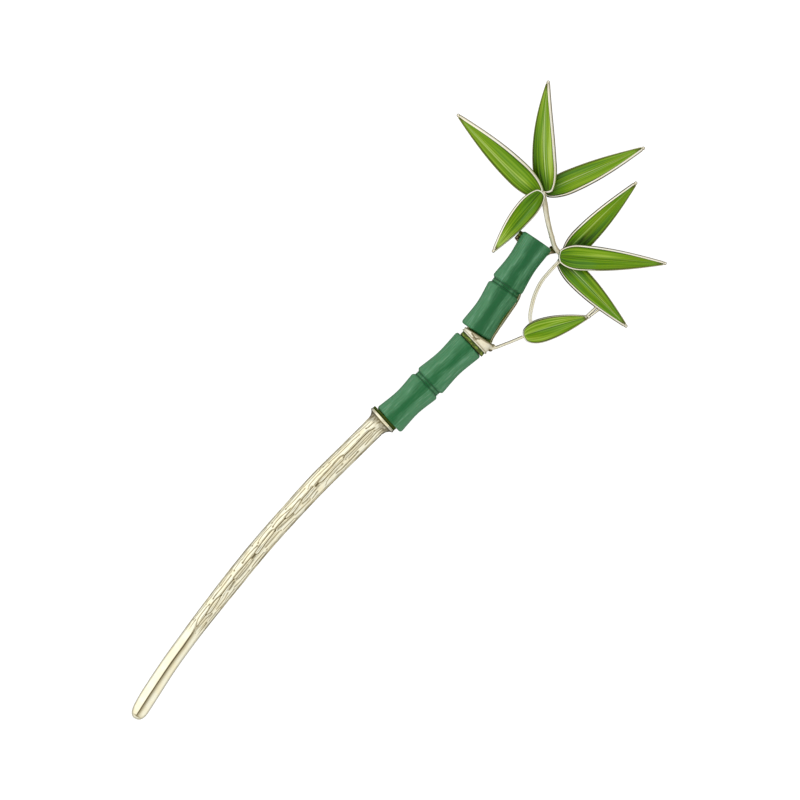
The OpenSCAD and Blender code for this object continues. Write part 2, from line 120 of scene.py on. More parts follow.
# Grooves of the bark on its face, each also painted dark along its cut as painted shade: depth as a share, half
# width, then x and distance to the left of the middle line for each point of the groove
BARK_GROOVES = [
    (1.00, 0.14, (-68.0, -0.15), (-66.0, -0.08), (-64.2, 0.08)),
    (0.45, 0.09, (-64.1, 0.30), (-63.0, 0.80), (-62.0, 1.00), (-59.0, 1.00), (-58.3, 0.85)),
    (0.95, 0.12, (-64.0, -0.10), (-63.0, 0.00), (-62.0, 0.00), (-60.8, 0.00)),
    (0.60, 0.14, (-60.6, 0.10), (-58.2, 0.35), (-57.0, 0.40), (-55.9, 0.30), (-55.0, 0.10)),
    (0.80, 0.10, (-60.7, -0.10), (-60.1, -0.45), (-59.0, -0.60), (-57.0, -0.45), (-55.9, -0.30), (-54.9, -0.05)),
    (1.00, 0.14, (-54.9, 0.05), (-52.5, 0.10), (-50.2, 0.05)),
    (0.85, 0.12, (-50.1, 0.10), (-49.9, 0.25), (-48.5, 0.25), (-45.4, 0.15), (-43.8, 0.10)),
    (0.50, 0.10, (-50.1, -0.15), (-49.5, -0.35), (-45.4, -0.35)),
    (0.50, 0.09, (-49.7, -0.55), (-49.0, -0.75), (-45.4, -0.80), (-43.7, -0.65)),
    (1.00, 0.30, (-43.5, -0.20), (-42.4, -0.20)),
    (0.75, 0.11, (-42.4, 0.10), (-41.5, 0.20), (-39.0, 0.42), (-37.0, 0.52), (-35.3, 0.50), (-35.0, 0.25)),
    (0.90, 0.11, (-42.2, -0.50), (-41.8, -0.72), (-40.8, -0.68), (-39.3, -0.50), (-36.9, -0.35), (-35.1, -0.20)),
    (1.00, 0.16, (-35.1, -0.15), (-34.4, 0.08), (-31.4, 0.05)),
    (0.50, 0.12, (-31.3, 0.20), (-28.7, 0.35), (-27.2, 0.48), (-25.5, 0.45)),
    (0.75, 0.11, (-31.4, -0.05), (-31.0, -0.30), (-29.3, -0.50), (-27.9, -0.45), (-26.7, -0.25), (-25.5, -0.05)),
    (1.00, 0.13, (-25.5, 0.10), (-22.7, 0.22), (-21.4, 0.30)),
    (1.00, 0.28, (-20.8, -0.10), (-20.0, -0.12)),
    (0.50, 0.18, (-20.0, 0.20), (-18.1, 0.35), (-15.9, 0.40), (-13.6, 0.60), (-12.1, 0.68), (-11.3, 0.50)),
    (0.85, 0.11, (-19.8, -0.30), (-18.7, -0.55), (-16.6, -0.45), (-14.4, -0.30), (-12.1, -0.30), (-11.5, 0.00)),
    (1.00, 0.15, (-11.5, 0.00), (-11.0, 0.20), (-9.0, 0.15), (-6.0, 0.25), (-3.5, 0.25), (-1.5, -0.15)),
    (0.45, 0.08, (-67.4, 0.95), (-66.5, 1.15), (-63.2, 1.30)),
    (0.50, 0.08, (-64.8, 2.00), (-64.0, 2.10), (-63.4, 1.85)),
    (0.25, 0.08, (-67.5, 1.70), (-65.0, 1.75)),
    (0.25, 0.08, (-63.4, 1.70), (-59.3, 1.60)),
    (0.45, 0.08, (-59.3, 2.00), (-56.8, 2.05)),
    (0.22, 0.08, (-58.3, 1.65), (-53.5, 1.75)),
    (0.50, 0.09, (-56.6, 1.00), (-55.9, 1.10), (-53.6, 1.05), (-51.4, 1.10), (-49.9, 1.12)),
    (0.40, 0.08, (-53.5, 1.75), (-53.1, 2.00), (-52.1, 2.05), (-47.8, 2.05)),
    (0.25, 0.08, (-52.9, 1.60), (-51.4, 1.70), (-48.7, 1.70)),
    (0.25, 0.08, (-48.4, 1.40), (-45.4, 1.60)),
    (0.50, 0.09, (-45.8, 0.85), (-43.5, 1.00), (-41.4, 0.85), (-40.5, 0.70)),
    (0.22, 0.08, (-45.3, 1.50), (-42.6, 1.55)),
    (0.25, 0.08, (-41.0, 1.75), (-36.0, 1.85)),
    (0.50, 0.08, (-39.9, 1.00), (-39.3, 1.30), (-37.2, 1.50), (-34.9, 1.45)),
    (0.50, 0.09, (-34.7, 0.90), (-34.4, 1.00), (-33.0, 1.15), (-30.8, 1.00), (-28.7, 0.60)),
    (0.40, 0.08, (-34.2, 1.75), (-31.7, 1.85), (-28.3, 2.00), (-24.1, 2.05)),
    (0.45, 0.08, (-29.6, 1.50), (-27.9, 1.40), (-26.0, 1.35), (-23.1, 1.40)),
    (0.35, 0.08, (-22.7, 1.85), (-17.7, 1.95), (-17.4, 2.15)),
    (0.40, 0.09, (-22.5, 0.75), (-21.8, 1.15), (-19.6, 1.30), (-14.8, 1.20)),
    (0.30, 0.08, (-16.2, 1.95), (-12.1, 1.95), (-9.0, 1.85)),
    (0.50, 0.08, (-10.0, 2.25), (-7.6, 2.20), (-6.9, 2.05)),
    (0.40, 0.08, (-14.9, 1.60), (-12.1, 1.45), (-7.6, 1.45), (-5.7, 1.30)),
    (0.30, 0.08, (-6.6, 2.05), (-4.5, 1.80), (-1.5, 1.70)),
    (0.60, 0.09, (-3.4, 1.20), (-2.3, 1.00), (-0.8, 1.00)),
    (0.50, 0.09, (-65.7, -0.60), (-65.3, -0.25), (-63.5, -0.45), (-61.2, -0.60), (-59.8, -1.00)),
    (0.50, 0.13, (-67.2, -1.40), (-62.1, -1.35)),
    (0.40, 0.09, (-61.3, -1.55), (-57.5, -1.65), (-57.1, -1.95)),
    (0.22, 0.10, (-65.0, -0.95), (-60.4, -1.10)),
    (0.30, 0.12, (-58.0, -1.20), (-55.1, -1.20), (-53.5, -0.90)),
    (0.50, 0.09, (-54.7, -1.60), (-52.0, -1.60)),
    (0.35, 0.20, (-52.6, -0.65), (-50.4, -0.40)),
    (0.45, 0.09, (-51.5, -1.30), (-49.9, -1.50), (-46.3, -1.60)),
    (0.50, 0.13, (-45.0, -1.55), (-40.9, -1.55)),
    (0.35, 0.16, (-39.4, -1.00), (-34.7, -0.98)),
    (0.45, 0.09, (-33.4, -1.50), (-29.9, -1.65), (-29.7, -1.90)),
    (0.40, 0.13, (-34.1, -0.35), (-31.7, -0.65), (-29.3, -0.80)),
    (0.30, 0.15, (-29.0, -1.20), (-24.2, -1.45)),
    (0.50, 0.09, (-25.9, -0.65), (-24.5, -0.80), (-21.2, -0.62)),
    (0.55, 0.10, (-23.4, -1.60), (-21.5, -1.30)),
    (0.42, 0.09, (-18.9, -1.65), (-18.3, -1.30), (-16.6, -1.00), (-12.9, -0.90)),
    (0.55, 0.12, (-15.3, -1.50), (-13.6, -1.65), (-9.1, -1.55), (-8.4, -1.45)),
    (0.35, 0.08, (-10.7, -0.90), (-7.6, -0.85), (-3.0, -0.80)),
    (0.30, 0.08, (-11.2, -0.40), (-7.6, -0.40), (-3.0, -0.35)),
    (0.60, 0.10, (-6.2, -1.50), (-4.5, -1.30), (-1.5, -1.25), (-0.3, -1.50)),
    (0.80, 0.12, (-2.9, -1.95), (-0.3, -1.95)),
    (0.40, 0.10, (-2.6, -0.60), (-0.6, -0.95)),
    (0.75, 0.11, (-57.0, -1.95), (-55.5, -2.08), (-46.0, -2.12), (-37.0, -2.10)),
    (0.50, 0.10, (-36.0, -2.05), (-28.5, -2.12)),
    (0.75, 0.11, (-26.5, -2.10), (-20.0, -2.16), (-14.5, -2.22)),
    (0.60, 0.11, (-13.0, -2.20), (-4.5, -2.25)),
    (0.45, 0.10, (-36.5, 2.15), (-31.5, 2.20), (-25.0, 2.25)),
    (0.60, 0.10, (-3.4, 2.35), (-0.6, 2.30)),
    (0.30, 0.10, (-17.0, 2.30), (-8.0, 2.32)),
]
# Pits at the ends of the grooves, also painted dark as shade: x, distance to the left of the middle line, depth as
# a share
BARK_PITS = [
    (-63.2, 1.30, 0.5), (-65.7, -0.60, 0.6), (-62.2, -1.35, 0.6), (-58.3, 0.85, 0.7), (-58.8, 1.57, 0.6),
    (-60.8, 0.00, 0.8), (-59.8, -1.00, 0.8), (-57.2, -1.85, 0.6), (-56.6, 1.00, 0.6), (-53.1, 1.58, 0.6),
    (-52.0, -1.60, 0.6), (-49.9, 1.15, 0.4), (-48.5, 1.25, 0.9), (-46.3, -1.60, 0.5), (-45.8, 0.85, 0.9),
    (-41.5, 2.05, 0.5), (-41.3, 1.70, 0.8), (-40.5, 0.70, 0.7), (-39.9, 1.00, 0.8), (-39.7, -1.65, 0.7),
    (-34.7, 0.90, 0.7), (-34.2, 1.75, 0.8), (-34.1, -1.15, 0.7), (-31.3, 0.00, 0.8), (-29.6, 1.50, 0.8),
    (-29.2, -0.75, 0.8), (-28.7, 0.60, 0.5), (-25.9, -0.65, 0.6), (-24.0, 2.05, 0.8), (-24.0, -1.20, 0.6),
    (-23.1, 1.40, 0.5), (-21.5, 0.30, 0.8), (-18.7, -0.60, 0.6), (-16.5, 1.92, 1.0), (-14.9, 1.60, 0.6),
    (-12.9, -0.90, 0.7), (-11.5, -0.60, 0.6), (-8.4, -1.45, 0.7), (-6.9, 2.08, 0.8), (-5.7, 1.30, 0.4),
    (-3.4, 1.20, 0.8), (-1.9, -0.60, 0.6),
]

# Middle of the ferrule's rim and the way it points in plan
FERRULE = (1.3, -1.35, AXIS_Z)
FERRULE_TURN = -8.0
# Ferrule: place along its axis, half width, half height
FERRULE_ROWS = [
    (-3.35, 2.45, 1.86), (-2.30, 2.50, 2.05), (-1.60, 2.63, 2.38), (-1.05, 2.92, 2.82), (-0.70, 3.24, 3.20),
    (-0.52, 3.44, 3.42), (-0.44, 3.62, 3.62), (-0.34, 3.74, 3.74), (-0.20, 3.79, 3.79), (-0.06, 3.76, 3.76),
    (0.02, 3.68, 3.68), (0.10, 3.66, 3.66), (0.18, 3.72, 3.72), (0.30, 3.72, 3.72), (0.40, 3.62, 3.62),
    (0.46, 3.66, 3.66), (0.49, 3.66, 3.66), (0.66, 3.68, 3.68), (0.88, 3.66, 3.66), (0.93, 3.40, 3.40),
]

# Beads: middle of the end nearest the blade, and the way they point in plan
LOWER_START = (2.1, -2.52, AXIS_Z)
LOWER_TURN = -6.5
UPPER_START = (31.3, -4.75, AXIS_Z)
UPPER_TURN = 5.7
# How far below its axis the upper bead is ground flat
UPPER_FLAT = 3.3
# Tang and the pin's end beyond the lower bead: place along the bead's axis past its start or its end, radius
TANG_START = (-0.06, 1.05)
TANG_END = [(1.1, 1.0), (1.3, 0.85), (1.4, 0.0)]
# Bead: radius of its bore and of its ends' corners, where the groove between its internodes starts, its width
BEAD_BORE = 1.2
BEAD_CORNER = 0.62
GROOVE_START = 11.9
GROOVE_WIDTH = 1.5
# Shoulders of the groove: distance from it, drop below the node's radius
GROOVE_SHOULDER = [(0.30, 0.03), (0.15, 0.09), (0.05, 0.18), (0.0, 0.30)]
# Bottom of the groove: place along it, radius
GROOVE_ROWS = [
    (0.12, 3.70), (0.26, 3.58), (0.36, 3.54), (0.46, 3.64), (0.56, 3.68), (0.66, 3.54),
    (0.78, 3.52), (0.88, 3.66), (0.98, 3.68), (1.06, 3.54), (1.18, 3.56), (1.38, 3.70),
]

# Wedge collar: middle of its face at each bead, and its rings: share of the way along, radius
COLLAR_FROM = (28.09, -6.05, AXIS_Z)
COLLAR_TO = (31.2, -6.15, AXIS_Z)
COLLAR_ROWS = [
    (0.00, 3.40), (0.02, 3.64), (0.10, 3.68), (0.22, 3.66), (0.33, 3.66), (0.36, 3.72), (0.375, 3.92),
    (0.395, 4.04), (0.42, 4.07), (0.445, 4.03), (0.465, 3.90), (0.49, 3.85), (0.55, 3.84), (0.65, 3.82),
    (0.76, 3.86), (0.86, 3.94), (0.92, 3.99), (0.957, 3.94), (0.98, 3.78), (1.00, 3.55),
]
# Way that the collar points at the upper bead, and how square its top is, with 2 a plain round
COLLAR_TURN = 7.0
COLLAR_SQUARE = 2.6
# Shares of its length: end of the lower bead's seat, stretch of the shaded top, start of the upper bead's seat
COLLAR_SEAT = 0.36
COLLAR_TOP = (0.48, 0.95)
COLLAR_FAR_SEAT = 0.955
# Brown lines and patches of painted shade on the collar's top, which leave its crossed highlights: x, y of their
# ends, width, strength
COLLAR_SHADES = [
    (30.45, -4.40, 29.95, -6.15, 0.20, 0.88), (29.86, -5.30, 30.57, -6.60, 0.19, 0.84),
    (30.52, -4.80, 31.07, -8.66, 0.11, 0.66), (29.62, -6.60, 29.30, -9.00, 0.22, 0.36),
    (31.20, -7.00, 31.45, -9.50, 0.34, 0.66), (30.05, -2.05, 30.40, -2.15, 0.16, 0.80),
    (30.14, -10.12, 30.30, -10.35, 0.26, 1.00), (29.05, -9.90, 29.75, -10.20, 0.18, 0.80),
    (29.60, -5.70, 29.95, -6.15, 0.14, 0.72), (30.85, -4.20, 31.10, -6.20, 0.13, 0.45),
    (31.10, -6.20, 31.35, -8.50, 0.18, 0.56),
]

# Backing plate in plan: x, y
PLATE_OUTLINE = [
    (30.0, -2.6), (34.0, -2.2), (40.0, -1.4), (46.0, -0.9), (52.6, -0.4), (53.9, 0.6), (54.3, 2.45),
    (56.6, 2.45), (56.8, 0.9), (57.0, -1.6), (57.2, -5.2), (58.3, -5.5), (58.8, -6.4), (58.9, -7.4),
    (57.9, -7.5), (56.9, -6.6), (55.6, -6.1), (51.0, -5.9), (46.5, -6.9), (44.2, -7.8), (42.6, -8.15),
    (40.0, -8.40), (37.7, -8.62), (35.5, -8.82), (33.0, -9.1), (31.6, -9.6), (30.0, -9.0),
]
PLATE_THICK = 0.9
# Steps of the plate's top, each inside the last: width, rise, painted shade value, dark green under the bead as
# shade and reflection
PLATE_STEPS = [(0.12, 0.0, 0.0), (0.11, -0.10, 2.5), (0.15, 0.10, 0.05), (0.20, 0.0, 2.3)]
# The plate's lugs start here, and the one that holds the strap lies beyond this side of the middle
LUG_START = 53.5
LUG_SPLIT = -3.0
# Strap that holds the fourth leaf: middle, size
STRAP_PLACE = (55.45, 2.03, 2.7)
STRAP_SIZE = (1.3, 0.7, 5.0)

# Twigs: x, y, z, radius
TWIG_A_ROWS = [
    (30.4, -9.70, 4.2, 0.55), (31.2, -10.65, 4.0, 0.56), (33.1, -11.75, 3.6, 0.50),
    (35.2, -12.90, 3.1, 0.48), (37.75, -14.20, 2.75, 0.50),
]
TWIG_B_ROWS = [
    (41.3, -13.50, 2.8, 0.42), (42.5, -12.30, 2.8, 0.46), (44.6, -11.05, 2.8, 0.50), (47.2, -9.90, 2.9, 0.52),
    (50.2, -9.15, 3.0, 0.52), (53.2, -9.05, 3.0, 0.50), (56.8, -9.25, 3.1, 0.45),
]
STEM_ROWS = [
    (58.45, -8.50, 2.3, 0.62), (58.5, -7.17, 2.5, 0.58), (59.06, -5.75, 2.8, 0.57), (60.31, -3.94, 3.1, 0.58),
    (61.71, -1.94, 3.4, 0.59), (63.27, 0.06, 3.7, 0.62), (64.84, 1.85, 3.9, 0.68), (66.4, 3.70, 4.0, 0.62),
]
# Rods with round ends: from, to, radius
LINK_RODS = [
    ((51.2, -22.60, 2.35), (54.3, -23.00, 1.9), 0.34),
    ((51.7, -23.20, 2.25), (54.4, -23.85, 1.9), 0.28),
]
KNOB_RODS = [
    ((30.5, -9.50, 4.2), (31.3, -10.20, 4.1), 0.62),
    ((30.15, -9.95, 4.2), (30.85, -10.40, 4.15), 0.38),
    ((30.12, -10.30, 4.2), (30.40, -10.52, 4.15), 0.24),
]
# Spots of painted shade on the knob: x, y, radius, width of its soft edge, strength
KNOB_SHADES = [(30.22, -10.36, 0.58, 0.25, 1.00), (31.38, -9.70, 0.95, 0.50, 0.80)]
LUG_RODS = [
    ((54.8, 2.05, 0.5), (54.8, 2.05, 5.0), 0.40),
    ((56.1, 2.05, 0.5), (56.1, 2.05, 5.2), 0.40),
    ((58.15, -5.70, 0.5), (58.75, -6.30, 2.4), 0.38),
    ((58.1, -7.10, 0.5), (58.5, -7.60, 2.3), 0.42),
]
HUB_RODS = [
    ((66.57, 3.92, 2.0), (66.57, 3.92, 5.2), 0.5),
    ((58.2, -8.8, 1.8), (58.2, -8.8, 2.75), 0.5),
]

# Leaves: base x, y, z, tip x, y, z, half width, belly place, bow to the left, roll, arch
LEAF_ROWS = [
    (65.95, 4.07, 4.12, 68.05, 31.1, 3.6, 3.03, 0.27, 0.05, -17, 0.98),
    (67.33, 3.27, 2.87, 87.65, 19.8, 2.4, 2.88, 0.25, 0.88, -19, 0.78),
    (66.93, 4.00, 1.62, 90.0, -7.4, 1.5, 2.84, 0.25, -0.15, -17, 0.52),
    (66.82, 4.45, 5.35, 48.7, 4.3, 5.0, 2.53, 0.30, -0.24, -10, 0.68),
    (58.80, -9.48, 1.52, 82.6, -11.1, 1.3, 2.72, 0.24, -0.08, 15, 0.48),
    (57.67, -8.27, 3.07, 72.6, -28.6, 1.9, 3.02, 0.20, -0.05, 14, 0.88),
    (57.48, -8.70, 1.50, 55.15, -31.1, 1.3, 2.72, 0.27, -0.07, -14, 0.50),
    (37.78, -14.13, 2.22, 51.3, -23.0, 1.9, 2.83, 0.28, 0.12, 8, 0.48),
]
# Leaf: radius of its point, how blunt its base is, and the share of its length over which it rolls to a side
POINT_RADIUS = 0.36
BASE_BLUNT = 0.45
ROLL_REACH = 0.4
# Heights above a leaf's underside of the cell's floor and of the enamel, each with its lower face first
FLOOR_UNDER = 0.02
FLOOR_LEVEL = 0.40
ENAMEL_UNDER = 0.44
ENAMEL_TOP = 0.84
# Across a rim from its inner foot, out and over its top, with 1 its outer edge and -1 its inner edge: the
# walls with their height, then the top with its drop as a share of the half width
RIM_WALLS = [(-1.0, 0.12), (0.9, 0.0), (1.0, 0.10), (1.02, 0.42)]
RIM_TOP = [
    (1.0, 0.42), (0.9, 0.20), (0.7, 0.07), (0.4, 0.0), (0.1, 0.0), (-0.2, 0.0), (-0.5, 0.0), (-0.75, 0.06),
    (-0.92, 0.20), (-1.0, 0.45),
]
# Width of each leaf's rim on its left and on its right
RIM_WIDTHS = [
    (0.30, 0.58), (0.24, 0.50), (0.32, 0.36), (0.36, 0.34), (0.36, 0.24), (0.38, 0.34), (0.28, 0.32), (0.26, 0.24),
]
# How far across each leaf's rim green is painted from the enamel on its left and on its right, the share of the
# length where the green starts, and the strength of the tan line of painted shade round the rim's outside
RIM_GREENS = [
    (1.15, 0.00, 0.00, 0.48), (1.35, 0.00, 0.00, 0.52), (0.95, 0.00, 0.00, 0.30), (0.55, 0.00, 0.00, 0.25),
    (0.00, 1.50, 0.00, 0.28), (0.00, 0.85, 0.30, 0.36), (0.90, 0.00, 0.00, 0.28), (0.60, 0.60, 0.00, 0.30),
]
# How each leaf is coloured, with 0 the darkest green and 1 the palest: its left, middle and right, its base,
# painted as shade where other leaves lie over it, and how far the base reaches, its tip; then the place of its
# pale streak across it, a painted highlight, the half gap between the two lines of the streak, their half width
# and strength; the strength of its dark vein; and how much further the base's painted shade reaches on the right
# than on the left
LOOK_NAMES = (
    "Left", "Middle", "Right", "Base", "Base_Reach", "Tip", "Pale_Place", "Pale_Gap", "Pale_Width", "Pale_Strength",
    "Vein", "Base_Lean",
)
LEAF_LOOKS = [
    (0.54, 0.86, 0.58, 0.28, 0.20, 0.70, 0.36, 0.00, 0.10, 0.34, 0.10, 0.00),
    (0.38, 0.66, 0.90, 0.12, 0.30, 0.66, 0.60, 0.055, 0.034, 1.00, 0.75, -0.20),
    (0.46, 0.64, 0.58, 0.10, 0.34, 0.62, 0.52, 0.050, 0.032, 0.80, 0.20, -0.10),
    (0.42, 0.30, 0.52, 0.22, 0.48, 0.92, 0.34, 0.00, 0.050, 0.30, 0.55, 0.00),
    (0.72, 0.58, 0.30, 0.00, 0.56, 0.48, 0.36, 0.00, 0.060, 0.30, 0.10, 0.06),
    (0.54, 0.44, 0.40, 0.30, 0.18, 0.60, 0.40, 0.00, 0.030, 0.35, 0.80, 0.00),
    (0.47, 0.60, 0.68, 0.00, 0.40, 0.38, 0.50, 0.050, 0.032, 0.90, 0.10, -0.10),
    (0.72, 0.66, 0.62, 0.78, 0.06, 0.52, 0.45, 0.00, 0.022, 0.80, 0.70, 0.00),
]


def colour_setting(name, description, default):
    """A colour property for a group of settings."""
    return FloatVectorProperty(
        name=name, description=description, default=default, subtype="COLOR", size=3, min=0.0, max=1.0)


class StickSizes(bpy.types.PropertyGroup):
    """Sizes of the blade, the beads and the leaves."""

    tip_ridge: FloatProperty(
        name="Tip Ridge", description="How far the tip's middle ridge stands out of a plain oval",
        default=0.25, min=0.0, max=0.8, subtype="FACTOR")
    bark_ridge: FloatProperty(
        name="Bark Ridge", description="How far the bark's middle seam stands out of a plain oval",
        default=0.22, min=0.0, max=0.6, subtype="FACTOR")
    groove_depth: FloatProperty(
        name="Groove Depth", description="Depth of the grooves between the bark strips",
        default=0.00020, min=0.0, max=0.0004, unit="LENGTH", precision=5)
    bead_length: FloatProperty(
        name="Bead Length", description="Length of a bamboo bead",
        default=0.0262, min=0.024, max=0.0264, unit="LENGTH", precision=4)
    bead_end: FloatProperty(
        name="Bead End Radius", description="Radius at a bead's ends",
        default=0.00402, min=0.0036, max=0.00405, unit="LENGTH", precision=5)
    bead_waist: FloatProperty(
        name="Bead Waist Radius", description="Radius at the waist of an internode",
        default=0.00361, min=0.0032, max=0.0037, unit="LENGTH", precision=5)
    bead_node: FloatProperty(
        name="Bead Node Radius", description="Radius at the swellings beside the groove",
        default=0.00409, min=0.0038, max=0.0041, unit="LENGTH", precision=5)
    rim_width: FloatProperty(
        name="Leaf Rim Width", description="Width of the leaves' metal rims, as a share of their own widths",
        default=1.0, min=0.7, max=1.3, subtype="FACTOR")
    rim_height: FloatProperty(
        name="Leaf Rim Height", description="Height of a leaf's rim above its underside",
        default=0.0010, min=0.0008, max=0.0011, unit="LENGTH", precision=5)
    crown: FloatProperty(
        name="Leaf Crown", description="Rise of a leaf's middle over its edges",
        default=0.00035, min=0.0, max=0.0006, unit="LENGTH", precision=5)


class StickColours(bpy.types.PropertyGroup):
    """Colours of the plated metal, the resin beads and the enamel."""

    metal: colour_setting("Plated Metal", "Pale gold of the plating", (0.95, 0.92, 0.735))
    # The brown is painted shade in the grooves, lines and outlines of the metal
    recess: colour_setting("Recess", "Brown that stays in the cast grooves", (0.060, 0.045, 0.016))
    # The tan is painted shade, lighter than the brown
    tan_shade: colour_setting("Tan Shade", "Warm tan between the plating and its recesses", (0.450, 0.385, 0.225))
    # The seat green is a painted reflection of the green beads in the metal beside them; the leaf rims also take it
    # beside the enamel
    seat_green: colour_setting(
        "Seat Green", "Green of the metal seats that the beads rest against", (0.26, 0.36, 0.05))
    shadow: colour_setting(
        "Seat Shadow", "Near black green of the deepest seats and of the lugs", (0.014, 0.028, 0.008))
    jade_deep: colour_setting("Bead Deep", "Deep green of the beads", (0.009, 0.138, 0.036))
    jade_light: colour_setting("Bead Light", "Light green of the beads", (0.073, 0.258, 0.112))
    # The bead pale is a painted highlight in the light parts of the beads
    jade_pale: colour_setting(
        "Bead Pale", "Pale fine streaks in the light parts of the beads", (0.150, 0.340, 0.200))
    leaf_deep: colour_setting("Leaf Deep", "Deep green of the enamel", (0.074, 0.204, 0.000))
    leaf_mid: colour_setting("Leaf Middle", "Middle green of the enamel", (0.138, 0.292, 0.001))
    leaf_yellow: colour_setting("Leaf Yellow", "Yellow green of the enamel's bright side", (0.235, 0.400, 0.014))
    leaf_cool: colour_setting("Leaf Cool", "Cooler green of some clouds in the enamel", (0.110, 0.310, 0.055))
    leaf_olive: colour_setting("Leaf Olive", "Olive of other clouds in the enamel", (0.230, 0.310, 0.008))
    # The palest green also makes the painted highlight streaks
    leaf_pale: colour_setting("Leaf Pale", "Pale streaks in the enamel", (0.460, 0.620, 0.110))


class StageSettings(bpy.types.PropertyGroup):
    """Camera, lights and floor."""

    lens: FloatProperty(
        name="Lens", description="Focal length of the camera in millimetres",
        default=400.0, min=100.0, max=800.0, subtype="DISTANCE_CAMERA")
    field: FloatProperty(
        name="Field", description="Width of the view at the object",
        default=0.1892, min=0.15, max=0.4, unit="LENGTH", precision=4)
    roll: FloatProperty(
        name="Roll", description="Angle of the blade above the picture's horizontal",
        default=math.radians(50.0), min=0.0, max=math.pi, subtype="ANGLE")
    bright_panel: FloatProperty(
        name="Bright Panel", description="Power of the light panel beyond the object's upper edge",
        default=0.65, min=0.0, max=200.0, subtype="POWER")
    soft_panel: FloatProperty(
        name="Soft Panel", description="Power of the light panel beyond the object's lower edge",
        default=0.50, min=0.0, max=200.0, subtype="POWER")
    surround: FloatProperty(
        name="Surround", description="Brightness of the pale surround",
        default=1.0, min=0.0, max=3.0)


def clamp01(t):
    """t held between 0 and 1."""
    return max(0.0, min(1.0, t))


def smooth(t):
    """A smooth step from 0 to 1."""
    t = clamp01(t)
    return t * t * (3 - 2 * t)


def eased(t):
    """A half cosine from 0 to 1, which sets rings close together at both ends."""
    return 0.5 - 0.5 * math.cos(math.pi * t)


def mix(a, b, t):
    """The value at share t of the way from a to b."""
    return a + (b - a) * t


def hashed(a, b):
    """A steady number from 0 to 1 for a pair of numbers."""
    s = math.sin(a * 12.9898 + b * 78.233) * 43758.5453
    return s - math.floor(s)


def bump(distance, width):
    """A round hump of height 1 at distance 0."""
    return math.exp(-(distance / width) ** 2)


def row_at(rows, t):
    """The row at place t of a table, where whole numbers are its rows, on a smooth curve."""
    last = len(rows) - 1
    i = min(last - 1, max(0, math.floor(t)))
    s = t - i
    a, b, c, d = (rows[max(0, min(last, i + k))] for k in (-1, 0, 1, 2))
    return [
        0.5 * (2 * q + (r - p) * s + (2 * p - 5 * q + 4 * r - w) * s * s + (3 * q - p - 3 * r + w) * s ** 3)
        for p, q, r, w in zip(a, b, c, d)
    ]


def place_of(rows, x):
    """The place in a table whose first column is x."""
    i = 0
    while i < len(rows) - 2 and x >= rows[i + 1][0]:
        i += 1
    return i + (x - rows[i][0]) / (rows[i + 1][0] - rows[i][0])


def straight_at(rows, x):
    """The second column of a table at x, on straight lines between its rows."""
    t = place_of(rows, x)
    i = min(len(rows) - 2, math.floor(t))
    return mix(rows[i][1], rows[i + 1][1], clamp01(t - i))


def direction(turn):
    """Unit vector that points turn degrees from X in plan."""
    return Vector((math.cos(math.radians(turn)), math.sin(math.radians(turn)), 0.0))


def ring_point(middle, along, half_w, half_h, angle, ridge=0.0):
    """Point of an oval ring square to along; angle 0 is the left side and 90 degrees the top."""
    plan = math.hypot(along[0], along[1])
    across = Vector((-along[1] / plan, along[0] / plan, 0.0))
    up = along.cross(across).normalized()
    oval = math.sin(angle)
    roof = math.copysign(1 - abs(math.cos(angle)), oval)
    return middle + across * (half_w * math.cos(angle)) + up * (half_h * mix(oval, roof, ridge))


def bent_grid(bm, rows, columns, shape, layer=None):
    """A grid whose points shape(row, column) puts in place; with a layer it gives its place and its painted shade
    value.
    """
    made = bmesh.ops.create_grid(bm, x_segments=rows, y_segments=columns, size=0.5, calc_uvs=True)
    verts = made["verts"]
    low_x = min(v.co.x for v in verts)
    low_y = min(v.co.y for v in verts)
    span_x = max(v.co.x for v in verts) - low_x
    span_y = max(v.co.y for v in verts) - low_y
    for vert in verts:
        row = round((vert.co.x - low_x) / span_x * rows)
        column = round((vert.co.y - low_y) / span_y * columns)
        if layer:
            vert.co, vert[layer] = shape(row, column)
        else:
            vert.co = shape(row, column)
    return verts


def start_mesh():
    """A new bmesh with a UV layer."""
    bm = bmesh.new()
    bm.loops.layers.uv.new("UVMap")
    return bm


def start_metal():
    """A new bmesh with a UV layer and a layer for the painted shade of each vertex."""
    bm = start_mesh()
    return bm, bm.verts.layers.float.new("recess")


def finish_piece(bm, name, material, nodes, crease=50.0):
    """Turns a bmesh in millimetres into a smooth shaded piece in metres that rides on the frame."""
    bmesh.ops.remove_doubles(bm, verts=bm.verts, dist=1e-5)
    bmesh.ops.recalc_face_normals(bm, faces=bm.faces)
    for vert in bm.verts:
        vert.co.z = max(vert.co.z, 0.002)
    bmesh.ops.scale(bm, vec=(MM, MM, MM), verts=bm.verts)
    for face in bm.faces:
        face.smooth = True
    mesh = bpy.data.meshes.new(name)
    bm.to_mesh(mesh)
    bm.free()
    mesh.set_sharp_from_angle(angle=math.radians(crease))
    mesh.materials.append(material)
    piece = bpy.data.objects.new(name, mesh)
    bpy.context.scene.collection.objects.link(piece)
    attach(piece, "root")
    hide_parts(*nodes)


def tube(bm, rows, steps, sides, shape, layer):
    """A tube through the rows of a table; shape(t, angle) gives the scale of its radius and its painted shade."""
    last = len(rows) - 1

    def point(row, column):
        t = clamp01((row - 1) / (steps - 2))
        middle = row_at(rows, t * last)
        ahead = row_at(rows, t * last + 0.05)
        behind = row_at(rows, t * last - 0.05)
        along = Vector([p - q for p, q in zip(ahead[:3], behind[:3])])
        angle = 2 * math.pi * (column % sides) / sides
        scale, recess = shape(t, angle)
        radius = 0.0 if row in (0, steps) else middle[3] * scale
        return ring_point(Vector(middle[:3]), along, radius, radius, angle), recess

    bent_grid(bm, steps, sides, point, layer)


